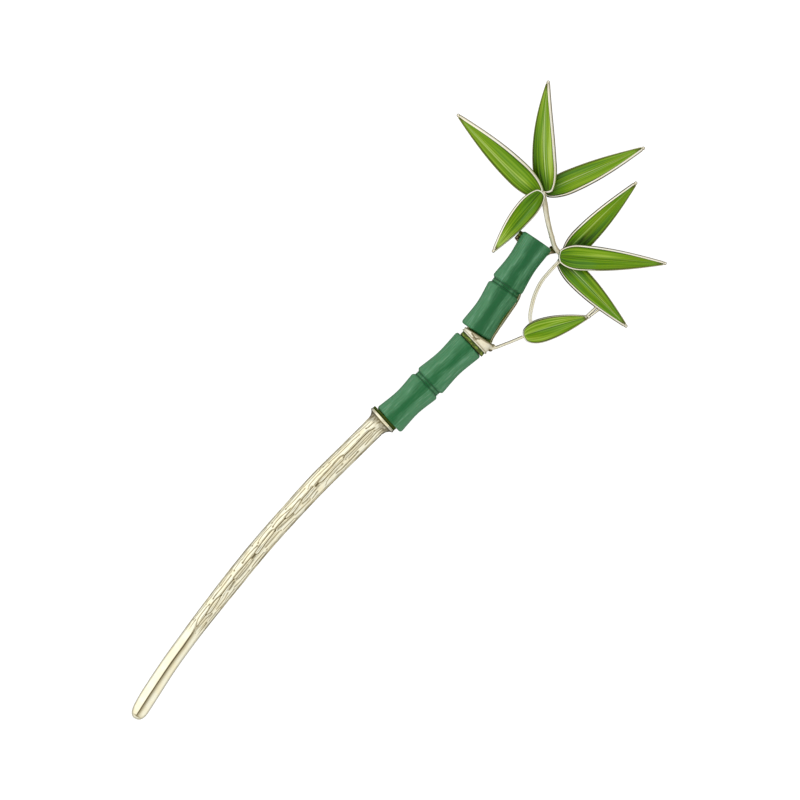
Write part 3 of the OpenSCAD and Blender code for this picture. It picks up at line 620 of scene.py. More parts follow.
def rod(bm, start, end, radius, sides=20, dome_rows=5):
    """A straight rod with round ends."""
    start = Vector(start)
    end = Vector(end)
    along = (end - start).normalized()
    side = along.orthogonal().normalized()
    other = along.cross(side)
    rows = 2 * dome_rows + 1

    def point(row, column):
        angle = 2 * math.pi * (column % sides) / sides
        if row <= dome_rows:
            lean = math.pi / 2 * row / dome_rows
            middle = start - along * (radius * math.cos(lean))
        else:
            lean = math.pi / 2 * (rows - row) / dome_rows
            middle = end + along * (radius * math.cos(lean))
        return middle + (side * math.cos(angle) + other * math.sin(angle)) * (radius * math.sin(lean))

    return bent_grid(bm, rows, sides, point)


# Bark relief

def grooves_at(x):
    """The charted grooves that run through x: distance to the left, depth share, half width, lean."""
    found = []
    for number, (share, width, *points) in enumerate(BARK_GROOVES):
        if not points[0][0] - 0.4 < x < points[-1][0] + 0.4:
            continue
        t = max(0.0, min(len(points) - 1.0, place_of(points, x)))
        side = row_at(points, t)[1]
        # A groove runs out softly past its ends, is a little uneven, and has one lip higher than the other
        past_end = max(points[0][0] - x, x - points[-1][0], 0.0)
        unevenness = 0.85 + 0.3 * noise.noise(Vector((x * 0.8, number * 7.3, 0.0)))
        lean = 1.0 if hashed(number, 3.0) > 0.5 else -1.0
        found.append((side, share * unevenness * bump(past_end, 0.2), width, lean))
    return found


def face_relief(x, side, grooves, slant):
    """Height and painted shade, with some random tone, of the bark's face at x and side; slant is the surface's
    width per width in plan.
    """
    height, recess = 0.0, 0.0
    for place, share, width, lean in grooves:
        # A narrow cut in a broad dip, the step between its two lips, and the painted shade, a little wider than the
        # cut
        away = (side - place) * slant
        cut = share * bump(away, width * 1.25)
        height -= cut + 0.32 * share * bump(away, width * 3.2)
        height += 0.22 * lean * share * math.tanh(away / 0.10) * bump(away, 0.42)
        recess = max(recess, share ** 0.40 * bump(away, width * 1.12))
    for pit_x, pit_side, share in BARK_PITS:
        if abs(pit_x - x) < 0.6:
            away = math.hypot(pit_x - x, (side - pit_side) * slant)
            height -= 0.7 * share * bump(away, 0.20)
            recess = max(recess, share * bump(away, 0.20))
    fine = noise.noise(Vector((x * 0.7, side * 5.5, 4.0)))
    wash = noise.noise(Vector((x * 0.30, side * 1.9, 9.0)))
    return height + 0.16 * fine, max(recess, 0.08 * clamp01(fine) + 0.12 * clamp01(wash))


def back_relief(x, angle):
    """Height and painted shade of the bark round the sides and back, where strips of a steady width wander along
    and their cuts are painted dark.
    """
    wander = 0.25 * math.sin(0.55 * x) + 0.15 * math.sin(1.3 * x + 2 * angle)
    place = angle / (2 * math.pi) * BARK_STRIPS + wander
    strip = math.floor(place)
    share = place - strip
    bow = 4 * share * (1 - share)
    # Each strip breaks into scales of its own length, whose ends are round and whose edges differ in depth
    length = mix(5.5, 9.5, hashed(strip % BARK_STRIPS, 11.0))
    along = (x + 0.9 * bow) / length + hashed(strip % BARK_STRIPS, 12.0)
    scale = math.floor(along)
    end = min(along - scale, 1 - (along - scale)) * length
    edge = min(share, 1 - share) * 0.85
    depth = mix(0.4, 0.8, hashed(strip, scale + 0.4))
    cut = max(depth * bump(edge, 0.10), 0.6 * bump(end, 0.16))
    return 0.25 * bow - cut, cut


def blade_stations(sizes):
    """The blade's rings from tip to tang: middle, direction, half width, half height, ridge, bark share, x."""
    first, last = BLADE_ROWS[0][0], BLADE_ROWS[-1][0]
    xs = [first + TIP_ROUND * (1 - math.cos(math.pi / 2 * i / TIP_RINGS)) for i in range(TIP_RINGS + 1)]
    xs += [mix(first + TIP_ROUND, BARK_START, i / PLAIN_RINGS) for i in range(1, PLAIN_RINGS + 1)]
    xs += [mix(BARK_START, last, i / BARK_RINGS) for i in range(1, BARK_RINGS + 1)]
    stations = []
    for x in xs:
        t = place_of(BLADE_ROWS, x)
        row = row_at(BLADE_ROWS, t)
        ahead = row_at(BLADE_ROWS, t + 0.02)
        behind = row_at(BLADE_ROWS, t - 0.02)
        along = Vector([p - q for p, q in zip(ahead[:3], behind[:3])])
        from_end = clamp01((x - first) / TIP_ROUND)
        round_off = math.sqrt(1 - (1 - from_end) ** 2)
        share = smooth((x - BARK_START) / (BARK_FULL - BARK_START))
        ridge = mix(sizes.tip_ridge, sizes.bark_ridge, share)
        stations.append((Vector(row[:3]), along, row[3] / 2 * round_off, row[4] / 2 * round_off, ridge, share, x))
    along = direction(FERRULE_TURN)
    last = len(FERRULE_ROWS) - 1
    for i in range(1, FERRULE_RINGS + 1):
        t = last * i / FERRULE_RINGS
        place, half_w, half_h = row_at(FERRULE_ROWS, t)
        ridge = sizes.bark_ridge * (1 - smooth((place + 3.2) / 2.0))
        share = 1.0 if t < last * 0.6 else 0.0
        facing = direction(mix(FERRULE_TURN, LOWER_TURN, smooth((place - 0.46) / 0.3)))
        stations.append((Vector(FERRULE) + along * place, facing, half_w, half_h, ridge, share, FERRULE[0] + place))
    # The tang is round and coloured as the ferrule's face is
    along = direction(LOWER_TURN)
    past_end = [(sizes.bead_length / MM + place, radius) for place, radius in TANG_END]
    for place, radius in [TANG_START] + past_end:
        middle = Vector(LOWER_START) + along * place
        stations.append((middle, along, radius, radius, 0.0, 0.0, LOWER_START[0] + 1.0))
    return stations


def bark_surface(x, side, angle, half_w, grooves):
    """Height and painted shade of the bark at a point of a ring: charted on the face, in strips round the back."""
    upward = math.sin(angle)
    face = smooth((upward - 0.10) / 0.12)
    height, recess = 0.0, 0.0
    if face > 0:
        height, recess = face_relief(x, side, grooves, 1 / max(0.45, upward))
    if face < 1:
        back_height, back_painted_shade = back_relief(x, angle)
        height = mix(back_height, height, face)
        recess = mix(back_painted_shade, recess, face)
    # A patchy brown line of painted shade just inside both edges of the face, darker on the right
    from_edge = half_w - 0.10 - abs(side)
    if upward > 0 and abs(from_edge) < 0.4:
        patchy = clamp01(0.75 + 1.6 * noise.noise(Vector((x * 0.22, side, 8.0))))
        recess = max(recess, (0.80 if side < 0 else 0.55) * patchy * bump(from_edge, 0.09))
    return height, recess


def neck_painted_shade(x, side):
    """Painted shade of the neck, patchy and brown, and the painted shadow line behind the ferrule's rim."""
    from_rim = x - FERRULE[0]
    tint = clamp01(0.35 + 1.3 * noise.noise(Vector((side * 2.6, x * 0.9, 3.0))))
    near = smooth((from_rim + 3.0) / 2.0) * smooth((-0.42 - from_rim) / 0.15)
    return max(near * (0.14 + 0.62 * tint), 0.8 * bump(from_rim + 0.62, 0.12))


def tip_painted_shade(x, side, on_face, share):
    """Painted shade of the plain tip: its face's middle line, a painted dark reflection, softer to the right, and a
    short dark line near its end.
    """
    right = straight_at(TIP_LINE, x) - side if on_face else math.inf
    if right < 0:
        line = bump(right, mix(0.12, 0.17, smooth((x + 80.0) / 6.0)))
    else:
        line = max(bump(right, 0.20), 0.56 * bump(right, 0.60))
    line *= (1 - share) * smooth(x + 90.0)
    return max(line, 0.75 * bump(x + 89.35, 0.20) * bump(side + 0.1, 0.9))


def add_blade(sizes, metal):
    """The blade with its bark relief, ferrule and tang, as one closed casting."""
    stations = blade_stations(sizes)
    grooves = [grooves_at(station[6]) for station in stations]
    depth = sizes.groove_depth / MM
    bm, painted_shade_layer = start_metal()

    def angle_of(column):
        if column <= FACE_COLUMNS:
            return math.pi * column / FACE_COLUMNS
        return math.pi + math.pi * (column - FACE_COLUMNS) / (BLADE_COLUMNS - FACE_COLUMNS)

    def point(row, column):
        middle, along, half_w, half_h, ridge, share, x = stations[row]
        angle = angle_of(column % BLADE_COLUMNS)
        side = half_w * math.cos(angle)
        height, recess = 0.0, 0.0
        if share > 0:
            height, recess = bark_surface(x, side, angle, half_w, grooves[row])
            # The neck in front of the ferrule takes patchy painted shade
            neck_shade = 0.0
            if x > NECK_START:
                share *= 1 - smooth((x - FERRULE[0] + 1.1) / 0.5)
                neck_shade = neck_painted_shade(x, side)
            height *= share * depth
            recess = max(recess * share, neck_shade)
        # The tip is drawn in on its left, and the ferrule's face, which the bead rests on, is painted dark green as
        # the bead's shadow and reflection
        if x < TIP_FULL and side > 0:
            half_w *= 1 - 0.16 * (1 - smooth((x - BLADE_ROWS[0][0]) / 6.6))
        if x < BARK_FULL:
            recess = max(recess, tip_painted_shade(x, side, angle < math.pi, share))
        seat = mix(2.85, 2.62, smooth((x - FERRULE[0] - 0.36) / 0.20))
        recess = mix(recess, seat, smooth((x - FERRULE[0] - 0.16) / 0.08))
        return ring_point(middle, along, half_w + height, half_h + height, angle, ridge), recess

    bent_grid(bm, len(stations) - 1, BLADE_COLUMNS, point, painted_shade_layer)
    finish_piece(bm, "bark_blade", metal, ["blade"], crease=75.0)


# Beads

def bead_outline(sizes):
    """Half outline of a bead round its bore: place along the axis, radius."""
    length = sizes.bead_length / MM
    end_r = sizes.bead_end / MM
    waist_r = sizes.bead_waist / MM
    node_r = sizes.bead_node / MM
    groove_end = GROOVE_START + GROOVE_WIDTH

    def internode(start, end, r_start, r_end, steps=22):
        outline = []
        for i in range(steps + 1):
            t = i / steps
            from_waist = abs(2 * t - 1)
            bulge = 0.5 * (from_waist ** 2 + smooth(from_waist))
            outline.append((mix(start, end, t), mix(waist_r, r_start if t < 0.5 else r_end, bulge)))
        return outline

    def corner_arc(place, from_angle, to_angle):
        angles = [mix(from_angle, to_angle, i / 6) for i in range(7)]
        middle_r = end_r - BEAD_CORNER
        return [(place + BEAD_CORNER * math.cos(a), middle_r + BEAD_CORNER * math.sin(a)) for a in angles]

    return (
        [(0.0, BEAD_BORE)]
        + corner_arc(BEAD_CORNER, math.pi, math.pi / 2)
        + internode(BEAD_CORNER + 0.1, GROOVE_START - 0.50, end_r, node_r)
        + [(GROOVE_START - away, node_r - drop) for away, drop in GROOVE_SHOULDER]
        + [(GROOVE_START + place, radius) for place, radius in GROOVE_ROWS]
        + [(groove_end + away, node_r - drop) for away, drop in reversed(GROOVE_SHOULDER)]
        + internode(groove_end + 0.50, length - BEAD_CORNER - 0.1, node_r, end_r)
        + corner_arc(length - BEAD_CORNER, math.pi / 2, 0.0)
        + [(length, BEAD_BORE)]
    )


def add_bead(name, start, turn, sizes, jade, node, flat=None):
    """A bamboo bead turned round its axis, with its back ground flat where it lies on the plate."""
    bm = start_mesh()
    outline = bead_outline(sizes)
    verts = [bm.verts.new((place, 0.0, radius)) for place, radius in outline]
    edges = [bm.edges.new((a, b)) for a, b in zip(verts, verts[1:] + verts[:1])]
    bmesh.ops.spin(bm, geom=verts + edges, axis=(1, 0, 0), cent=(0, 0, 0), angle=2 * math.pi,
                   steps=128, use_merge=True)
    if flat is not None:
        cut = bmesh.ops.bisect_plane(
            bm, geom=bm.verts[:] + bm.edges[:] + bm.faces[:], dist=1e-5,
            plane_co=(0, 0, -flat), plane_no=(0, 0, -1), clear_outer=True)
        rim = [e for e in cut["geom_cut"] if isinstance(e, bmesh.types.BMEdge)]
        bmesh.ops.holes_fill(bm, edges=rim, sides=0)
    bmesh.ops.rotate(bm, cent=(0, 0, 0), verts=bm.verts,
                     matrix=direction(turn).to_track_quat("X", "Z").to_matrix())
    bmesh.ops.translate(bm, vec=start, verts=bm.verts)
    finish_piece(bm, name, jade, [node], crease=60.0)


# Soldered metal between the beads and the leaves

def squared(angle, power):
    """Scale of a round ring's radius at angle that makes it squarer; power 2 leaves it round."""
    return (abs(math.cos(angle)) ** power + abs(math.sin(angle)) ** power) ** (-1 / power)


def gap_to(x, y, x0, y0, x1, y1):
    """Distance in plan from x, y to the line between two points."""
    span = (x1 - x0) ** 2 + (y1 - y0) ** 2
    t = clamp01(((x - x0) * (x1 - x0) + (y - y0) * (y1 - y0)) / span)
    return math.hypot(x - mix(x0, x1, t), y - mix(y0, y1, t))


def collar_painted_shade(x, y, t):
    """Painted shade of the collar at x, y and share t of its length: the lower bead's seat in speckled green
    painted reflection, then painted shade lines, then the upper's seat in painted shadow.
    """
    if t < COLLAR_SEAT:
        speck = noise.noise(Vector((x * 2.4, y * 1.7, 2.0)))
        dark = max(smooth((t - 0.25) / 0.07), smooth((0.10 - t) / 0.07))
        return mix(mix(2.68, 1.80, smooth((speck - 0.06) / 0.22)), 2.95, dark)
    if t > COLLAR_FAR_SEAT:
        return 2.7
    shades = [strength * bump(gap_to(x, y, *ends), width) for *ends, width, strength in COLLAR_SHADES]
    cloud = 0.10 * noise.noise(Vector((x * 1.5, y * 1.5, 5.0)))
    flange_shade = 0.55 * bump(t - 0.485, 0.022)
    far_edge_shade = 0.80 * smooth((t - 0.83) / 0.10)
    return max(cloud, flange_shade, far_edge_shade, *shades)


def add_collar(metal):
    """The wedge collar between the beads, with its flange, its seats painted green and dark as the beads'
    reflection and shadow, and the knob of the first twig.
    """
    bm, painted_shade_layer = start_metal()
    sides = 128
    steps = 110
    start = Vector(COLLAR_FROM)
    end = Vector(COLLAR_TO)

    def point(row, column):
        t = clamp01((row - 1) / (steps - 2))
        radius = 0.0 if row in (0, steps) else row_at(COLLAR_ROWS, place_of(COLLAR_ROWS, t))[1]
        along = direction(mix(LOWER_TURN, COLLAR_TURN, smooth((t - 0.45) / 0.50)))
        angle = 2 * math.pi * (column % sides) / sides
        if angle < math.pi:
            radius *= squared(angle, COLLAR_SQUARE)
        place = ring_point(start.lerp(end, t), along, radius, radius, angle)
        recess = collar_painted_shade(place.x, place.y, t)
        if COLLAR_TOP[0] < t < COLLAR_TOP[1] and place.z > AXIS_Z:
            place.z -= 0.12 * min(recess, 1.0)
        return place, recess

    bent_grid(bm, steps, sides, point, painted_shade_layer)
    for first, second, radius in KNOB_RODS:
        for vert in rod(bm, first, second, radius):
            vert[painted_shade_layer] = max(
                strength * smooth((reach - math.hypot(vert.co.x - x, vert.co.y - y)) / edge)
                for x, y, reach, edge, strength in KNOB_SHADES)
    finish_piece(bm, "wedge_collar", metal, ["branch_frame"])


def add_plate(metal):
    """The backing plate under the upper bead and its two lugs."""
    bm, painted_shade_layer = start_metal()
    corners = [bm.verts.new((x, y, 0.0)) for x, y in PLATE_OUTLINE]
    bottom = bm.faces.new(corners)
    raised = bmesh.ops.extrude_face_region(bm, geom=[bottom])
    top = [v for v in raised["geom"] if isinstance(v, bmesh.types.BMVert)]
    bmesh.ops.translate(bm, vec=(0, 0, PLATE_THICK), verts=top)
    bmesh.ops.recalc_face_normals(bm, faces=bm.faces)
    edges = bm.edges[:]
    lid = [face for face in bm.faces if face.normal.z > 0.9]
    for width, rise, recess in PLATE_STEPS:
        bmesh.ops.inset_region(bm, faces=lid, thickness=width, depth=rise, use_even_offset=True)
        for vert in lid[0].verts:
            vert[painted_shade_layer] = recess
    bmesh.ops.bevel(bm, geom=edges, offset=0.12, segments=2, profile=0.5, affect="EDGES", material=-1,
                    clamp_overlap=True)
    for first, second, radius in LUG_RODS:
        rod(bm, first, second, radius)
    # The lugs are painted near black green as shadow; the lower one has a painted dark band and a painted glint
    for vert in bm.verts:
        if vert.co.x > LUG_START and vert.co.y > LUG_SPLIT:
            vert[painted_shade_layer] = mix(0.7, 2.7, smooth((vert.co.x - 54.9) / 0.5))
        elif vert.co.x > LUG_START:
            glint = 2.2 * bump(math.hypot(vert.co.x - 57.9, vert.co.y + 5.7), 0.30)
            vert[painted_shade_layer] = 0.3 + 2.5 * bump(gap_to(*vert.co.xy, 58.9, -5.1, 57.3, -7.2), 0.45) - glint
    finish_piece(bm, "backing_plate", metal, ["branch_frame"])


def add_strap(metal):
    """The strap between the first two lug rods, which holds the fourth leaf over the bead."""
    bm, painted_shade_layer = start_metal()
    made = bmesh.ops.create_cube(bm, size=1.0)
    bmesh.ops.scale(bm, vec=STRAP_SIZE, verts=made["verts"])
    bmesh.ops.translate(bm, vec=STRAP_PLACE, verts=made["verts"])
    bmesh.ops.bevel(bm, geom=bm.edges[:], offset=0.14, segments=3, profile=0.5, affect="EDGES", material=-1)
    # The strap is painted brown, then near black green as shadow towards its far end, with some random tone
    for vert in bm.verts:
        vert[painted_shade_layer] = mix(0.6, 2.7, smooth((vert.co.x - 55.0) / 0.4)) + 0.5 * noise.noise(vert.co * 1.3)
    finish_piece(bm, "leaf_strap", metal, ["branch_frame"])


def twig_ridges(seed, count, depth, left, right, inner, square=2.0, shaded=None):
    """Shape of a twig: ridges along it with painted shade between them, a node, a brown line of painted shade down
    each side beyond inner, and a painted shaded band.
    """
    def shape(t, angle):
        wander = 0.5 * math.sin(5 * t + seed)
        wave = math.cos(count * (angle + wander))
        swelling = 0.10 * bump(t - mix(0.3, 0.7, hashed(seed, 1.0)), 0.02)
        fleck = noise.noise(Vector((math.cos(angle) * 2, math.sin(angle) * 2, t * 14 + seed)))
        recess = 0.08 * smooth((-wave - 0.55) / 0.4) + 0.10 * clamp01(fleck)
        recess = max(recess, left * smooth((math.cos(angle) - inner) / 0.25))
        recess = max(recess, right * smooth((-math.cos(angle) - inner) / 0.25))
        if shaded is not None:
            recess = max(recess, 0.42 * bump(math.degrees(angle) - shaded, 34.0) * (0.9 + 0.8 * fleck))
        return squared(angle, square) * (1 - depth + depth * wave) + swelling, recess
    return shape


def strand(rows, side, rise, share):
    """Rows of one strand of a twig, moved to its side and up, with a share of its radius."""
    return [(x - side * 0.45, y + side * 0.9, z + rise, r * share) for x, y, z, r in rows]


def add_twig(name, metal, tubes, rods=()):
    """A twig of one or more tubes, and rods with a brown line of painted shade down each side."""
    bm, painted_shade_layer = start_metal()
    for rows, steps, sides, shape in tubes:
        tube(bm, rows, steps, sides, shape, painted_shade_layer)
    for first, second, radius in rods:
        along = (Vector(second) - Vector(first)).normalized()
        for vert in rod(bm, first, second, radius):
            away = (vert.co - Vector(first)).cross(along)
            vert[painted_shade_layer] = 0.95 * smooth((abs(away.z) / radius - 0.45) / 0.25)
    finish_piece(bm, name, metal, ["branch_frame"])


def add_twigs(metal):
    """The two twigs that carry the small leaf, the stem of the upper leaves with its posts, and the link."""
    add_twig("twig_to_small_leaf", metal, [
        (strand(TWIG_A_ROWS, 0.20, 0.0, 0.50), 60, 24, twig_ridges(1.0, 3, 0.02, 0.95, 0.05, inner=0.15)),
        (strand(TWIG_A_ROWS, -0.20, 0.0, 0.44), 60, 24, twig_ridges(5.0, 3, 0.02, 0.05, 0.70, inner=0.35)),
    ])
    add_twig("twig_pair", metal, [
        (strand(TWIG_B_ROWS, 0.24, 0.05, 0.44), 90, 20, twig_ridges(2.0, 3, 0.02, 0.66, 0.30, inner=0.66)),
        (strand(TWIG_B_ROWS, -0.24, 0.0, 0.46), 90, 20, twig_ridges(3.0, 3, 0.02, 0.42, 0.70, inner=0.66)),
    ])
    stem_shape = twig_ridges(4.0, 5, 0.04, 0.12, 0.44, inner=0.20, square=3.0, shaded=128.0)
    add_twig("leaf_stem", metal, [(STEM_ROWS, 110, 40, stem_shape)], HUB_RODS)
    add_twig("leaf_link", metal, [], LINK_RODS)


# Leaves

class Leaf:
    """The shape of one leaf, worked out from its row of the table."""

    def __init__(self, row, widths, sizes):
        self.base = Vector(row[0:3])
        self.way = Vector(row[3:6]) - self.base
        self.half_w, self.belly, self.bow, self.roll, self.arch = row[6:11]
        self.length = math.hypot(self.way.x, self.way.y)
        self.left = Vector((-self.way.y, self.way.x, 0.0)) / self.length
        self.rims = [width * sizes.rim_width for width in widths]
        self.high = sizes.rim_height / MM
        self.crown = sizes.crown / MM

    def half(self, u):
        """Half width at share u of the length: round base, belly, long point."""
        u = clamp01(u)
        if u < self.belly:
            f = math.sin(math.pi / 2 * u / self.belly) ** BASE_BLUNT
        else:
            f = math.cos(math.pi / 2 * (u - self.belly) / (1 - self.belly))
        return mix(POINT_RADIUS, self.half_w, max(0.0, f))

    def rim_at(self, b):
        """Width of the rim on the side of b, from the left one to the right one across the middle line."""
        return mix(self.rims[1], self.rims[0], smooth(0.5 + b / 1.4))

    def bend(self, a, b, w):
        """Place of a point of the flat leaf: a along it, b to its left, w above its underside."""
        u = a / self.length
        swell = 4 * u * (1 - u)
        roll = math.radians(self.roll) * math.sin(math.pi / 2 * clamp01(u / ROLL_REACH))
        side = self.left * math.cos(roll) + Vector((0, 0, math.sin(roll)))
        up = Vector((0, 0, math.cos(roll))) - self.left * math.sin(roll)
        dome = -self.crown * (b / self.half_w) ** 2
        return (
            self.base + self.way * u + self.left * (self.bow * swell) + Vector((0, 0, self.arch * swell))
            + side * b + up * (w + dome)
        )

    def inset_edge(self, a, side, share, start, end, round_l):
        """Distance from the middle line to the edge drawn in by a share of the rim, with round ends."""
        half = self.half(a / self.length)
        half = max(0.0, half - share * self.rim_at(side * half))
        near = min(a - start, end - a)
        if near < round_l:
            half *= math.sqrt(max(0.0, 1 - (1 - clamp01(near / round_l)) ** 2))
        return half


def add_leaf_floor(bm, leaf, start, end):
    """The floor of a leaf's cell, a closed thin slab whose edge runs inside the rim."""
    rows = 60
    face_columns = 8

    def point(row_number, column):
        a = mix(start, end, eased(clamp01((row_number - 1) / (rows - 2))))
        column %= 2 * face_columns
        on_top = column < face_columns
        across = 1 - 2 * (column % face_columns) / (face_columns - 1)
        across *= 1 if on_top else -1
        half = leaf.inset_edge(a, math.copysign(1.0, across), 0.5, start, end, 0.4)
        half = 0.0 if row_number in (0, rows) else half
        return leaf.bend(a, half * across, FLOOR_LEVEL if on_top else FLOOR_UNDER)

    bent_grid(bm, rows, 2 * face_columns, point)


def add_leaf_cell(number, row, widths, rim_tints, sizes, metal):
    """The metal cell of one leaf: floor, raised rim wire all round and a small bead at its tip."""
    leaf = Leaf(row, widths, sizes)
    bm, painted_shade_layer = start_metal()
    left_green, right_green, green_start, outer_shade_line = rim_tints
    steps = 260
    start = max(leaf.rims) / 2
    end = leaf.length - 0.18
    section = [(across, None, height) for across, height in RIM_WALLS]
    section += [(across, drop, 0.0) for across, drop in RIM_TOP]
    section.append((-1.0, None, 0.45))

    def middle_line(t):
        side = 1.0 if t < 0.5 else -1.0
        s = 2 * t if t < 0.5 else 2 * (1 - t)
        a = mix(start, end, eased(s))
        return Vector((a, side * leaf.inset_edge(a, side, 0.5, start, end, 0.4)))

    def wall(row_number, column):
        t = (row_number % steps) / steps
        here = middle_line(t)
        along = middle_line((t + 0.002) % 1.0) - middle_line((t - 0.002) % 1.0)
        out = Vector((-along.y, along.x)).normalized()
        half_rim = leaf.rim_at(here.y * 1.2) / 2
        tilt = math.radians(max(8.0, min(48.0, 30.0 + out.y * leaf.roll)))
        across, drop, height = section[column % len(section)]
        if drop is not None:
            height = leaf.high - half_rim * (drop + math.tan(tilt) * max(0.0, across + 0.35))
        place = here + out * (across * half_rim)
        # The rim's walls are painted tan as shade, darker at the inner foot
        if drop is None:
            return leaf.bend(place.x, place.y, height), 0.6 if across < -0.9 else 0.45
        # Green is painted on the rim from the enamel side, with a tan line of painted shade round its outside
        reach = mix(right_green, left_green, smooth(0.5 + here.y / 1.4))
        reach *= smooth((here.x / leaf.length - green_start) / 0.12)
        tint = mix(1.9, 0.3 * min(1.0, reach), smooth((across + 1.3 - reach) / 0.5))
        return leaf.bend(place.x, place.y, height), max(outer_shade_line * smooth((across - 0.62) / 0.30), tint)

    bent_grid(bm, steps, len(section), wall, painted_shade_layer)
    add_leaf_floor(bm, leaf, start, end)
    near = leaf.bend(leaf.length * 0.992, 0.0, leaf.high / 2)
    far = leaf.bend(leaf.length * 1.004, 0.0, leaf.high / 2)
    for vert in rod(bm, near, far, POINT_RADIUS + 0.04):
        away = math.hypot(vert.co.x - far.x, vert.co.y - far.y)
        vert[painted_shade_layer] = 0.9 * bump(away - POINT_RADIUS, 0.10)
    finish_piece(bm, f"leaf_cell_{number}", metal, ["branch_frame"])


def add_leaf_enamel(number, row, widths, sizes, enamel):
    """The enamel of one leaf, crowned, veined along its length and drawn up a little at the rim."""
    leaf = Leaf(row, widths, sizes)
    bm = start_mesh()
    rows = 120
    top = 72
    under = 8
    columns = top + under + 2
    start = 0.30
    end = leaf.length - 0.75

    def along_at(row_number):
        return eased(clamp01((row_number - 1) / (rows - 2)))

    def point(row_number, column):
        a = mix(start, end, along_at(row_number))
        column %= columns
        on_top = column <= top
        t = 1 - 2 * column / top if on_top else -1 + 2 * (column - top - 1) / under
        half = leaf.inset_edge(a, math.copysign(1.0, t), 0.9, start, end, 0.6)
        if row_number in (0, rows):
            half = 0.0
        if not on_top:
            return leaf.bend(a, half * t, ENAMEL_UNDER)
        fade = smooth(half / 1.2)
        vein = 0.05 * bump(t, 0.035) + 0.014 * math.cos(math.pi * 7 * t) * (1 - bump(t, 0.1))
        rim_rise = 0.06 * bump((1 - abs(t)) * half, 0.16)
        return leaf.bend(a, half * t, ENAMEL_TOP + fade * vein + rim_rise)

    bent_grid(bm, rows, columns, point)
    uv_layer = bm.loops.layers.uv.active
    for face in bm.faces:
        for loop in face.loops:
            flat = loop[uv_layer].uv
            loop[uv_layer].uv = (along_at(flat.x * rows), clamp01(flat.y * columns / top))
    finish_piece(bm, f"enamel_leaf_{number}", enamel, [f"leaf_enamel_{number}"])


# Finishes

# How a bead's streaks are stretched along it
STREAK_SCALE = (0.08, 1.0, 1.0)


def tinted(colour, share):
    """A colour darkened to a share of itself."""
    return [c * share for c in colour]


def whitened(colour, share):
    """A colour taken a share of the way to white."""
    return [mix(c, 1.0, share) for c in colour]


class Sketch:
    """Short calls that add nodes to a node tree and link them."""

    def __init__(self, tree):
        self.tree = tree
        self.tree.nodes.clear()

    def node(self, kind, settings=None, **inputs):
        """A node with its settings, and values or links for its inputs by name or by number."""
        made = self.tree.nodes.new(kind)
        for name, value in (settings or {}).items():
            setattr(made, name, value)
        for name, value in inputs.items():
            key = int(name[1:]) if name[0] == "i" and name[1:].isdigit() else name.replace("_", " ")
            self.feed(made.inputs[key], value)
        return made

    def feed(self, socket, value):
        """Links an output to the socket, or sets its value."""
        if isinstance(value, bpy.types.NodeSocket):
            self.tree.links.new(value, socket)
        elif socket.type == "RGBA" and len(value) == 3:
            socket.default_value = (*value, 1.0)
        else:
            socket.default_value = value

    def math(self, operation, a, b=0.0, clamp=False):
        """Output of a math node."""
        return self.node("ShaderNodeMath", {"operation": operation, "use_clamp": clamp}, i0=a, i1=b).outputs[0]

    def add(self, a, b):
        """Sum of two values."""
        return self.math("ADD", a, b)

    def minus(self, a, b):
        """What is left of a without b."""
        return self.math("SUBTRACT", a, b)

    def times(self, a, b):
        """Product of two values."""
        return self.math("MULTIPLY", a, b)

    def apart(self, a, b):
        """Distance between two values."""
        return self.math("ABSOLUTE", self.minus(a, b))

    def blend(self, factor, a, b):
        """Colour at factor between a and b."""
        made = self.node("ShaderNodeMix", {"data_type": "RGBA"})
        for index, value in ((0, factor), (6, a), (7, b)):
            self.feed(made.inputs[index], value)
        return made.outputs[2]

    def between(self, factor, a, b):
        """Value at factor between a and b."""
        made = self.node("ShaderNodeMix", {"data_type": "FLOAT"})
        for index, value in ((0, factor), (2, a), (3, b)):
            self.feed(made.inputs[index], value)
        return made.outputs[0]

    def step(self, value, low, high, to_low=0.0, to_high=1.0):
        """Value taken smoothly from low..high to to_low..to_high."""
        made = self.node("ShaderNodeMapRange", {"interpolation_type": "SMOOTHSTEP"},
                         Value=value, From_Min=low, From_Max=high, To_Min=to_low, To_Max=to_high)
        return made.outputs[0]

    def noise(self, vector, scale, detail=2.0):
        """Factor of a noise texture."""
        return self.node("ShaderNodeTexNoise", None, Vector=vector, Scale=scale, Detail=detail).outputs[0]

    def stretch(self, vector, scale, rotation=(0, 0, 0)):
        """A vector turned and scaled by a mapping node."""
        return self.node("ShaderNodeMapping", None, Vector=vector, Scale=scale, Rotation=rotation).outputs[0]

    def split(self, vector):
        """The three parts of a vector."""
        return self.node("ShaderNodeSeparateXYZ", None, Vector=vector).outputs

    def object_place(self):
        """Object coordinates of the surface."""
        return self.node("ShaderNodeTexCoord").outputs["Object"]


def new_group(name, inputs, outputs):
    """An empty shader node group with named inputs and outputs, its sketch and the sockets it is given."""
    group = bpy.data.node_groups.new(name, "ShaderNodeTree")
    for label, kind in inputs.items():
        group.interface.new_socket(label, in_out="INPUT", socket_type=f"NodeSocket{kind}")
    for label, kind in outputs.items():
        group.interface.new_socket(label, in_out="OUTPUT", socket_type=f"NodeSocket{kind}")
    sketch = Sketch(group)
    return sketch, sketch.node("NodeGroupInput").outputs


def place_group(sketch, name, **inputs):
    """The sockets that a placed node group puts out, once its inputs are fed."""
    return sketch.node("ShaderNodeGroup", {"node_tree": bpy.data.node_groups[name]}, **inputs).outputs


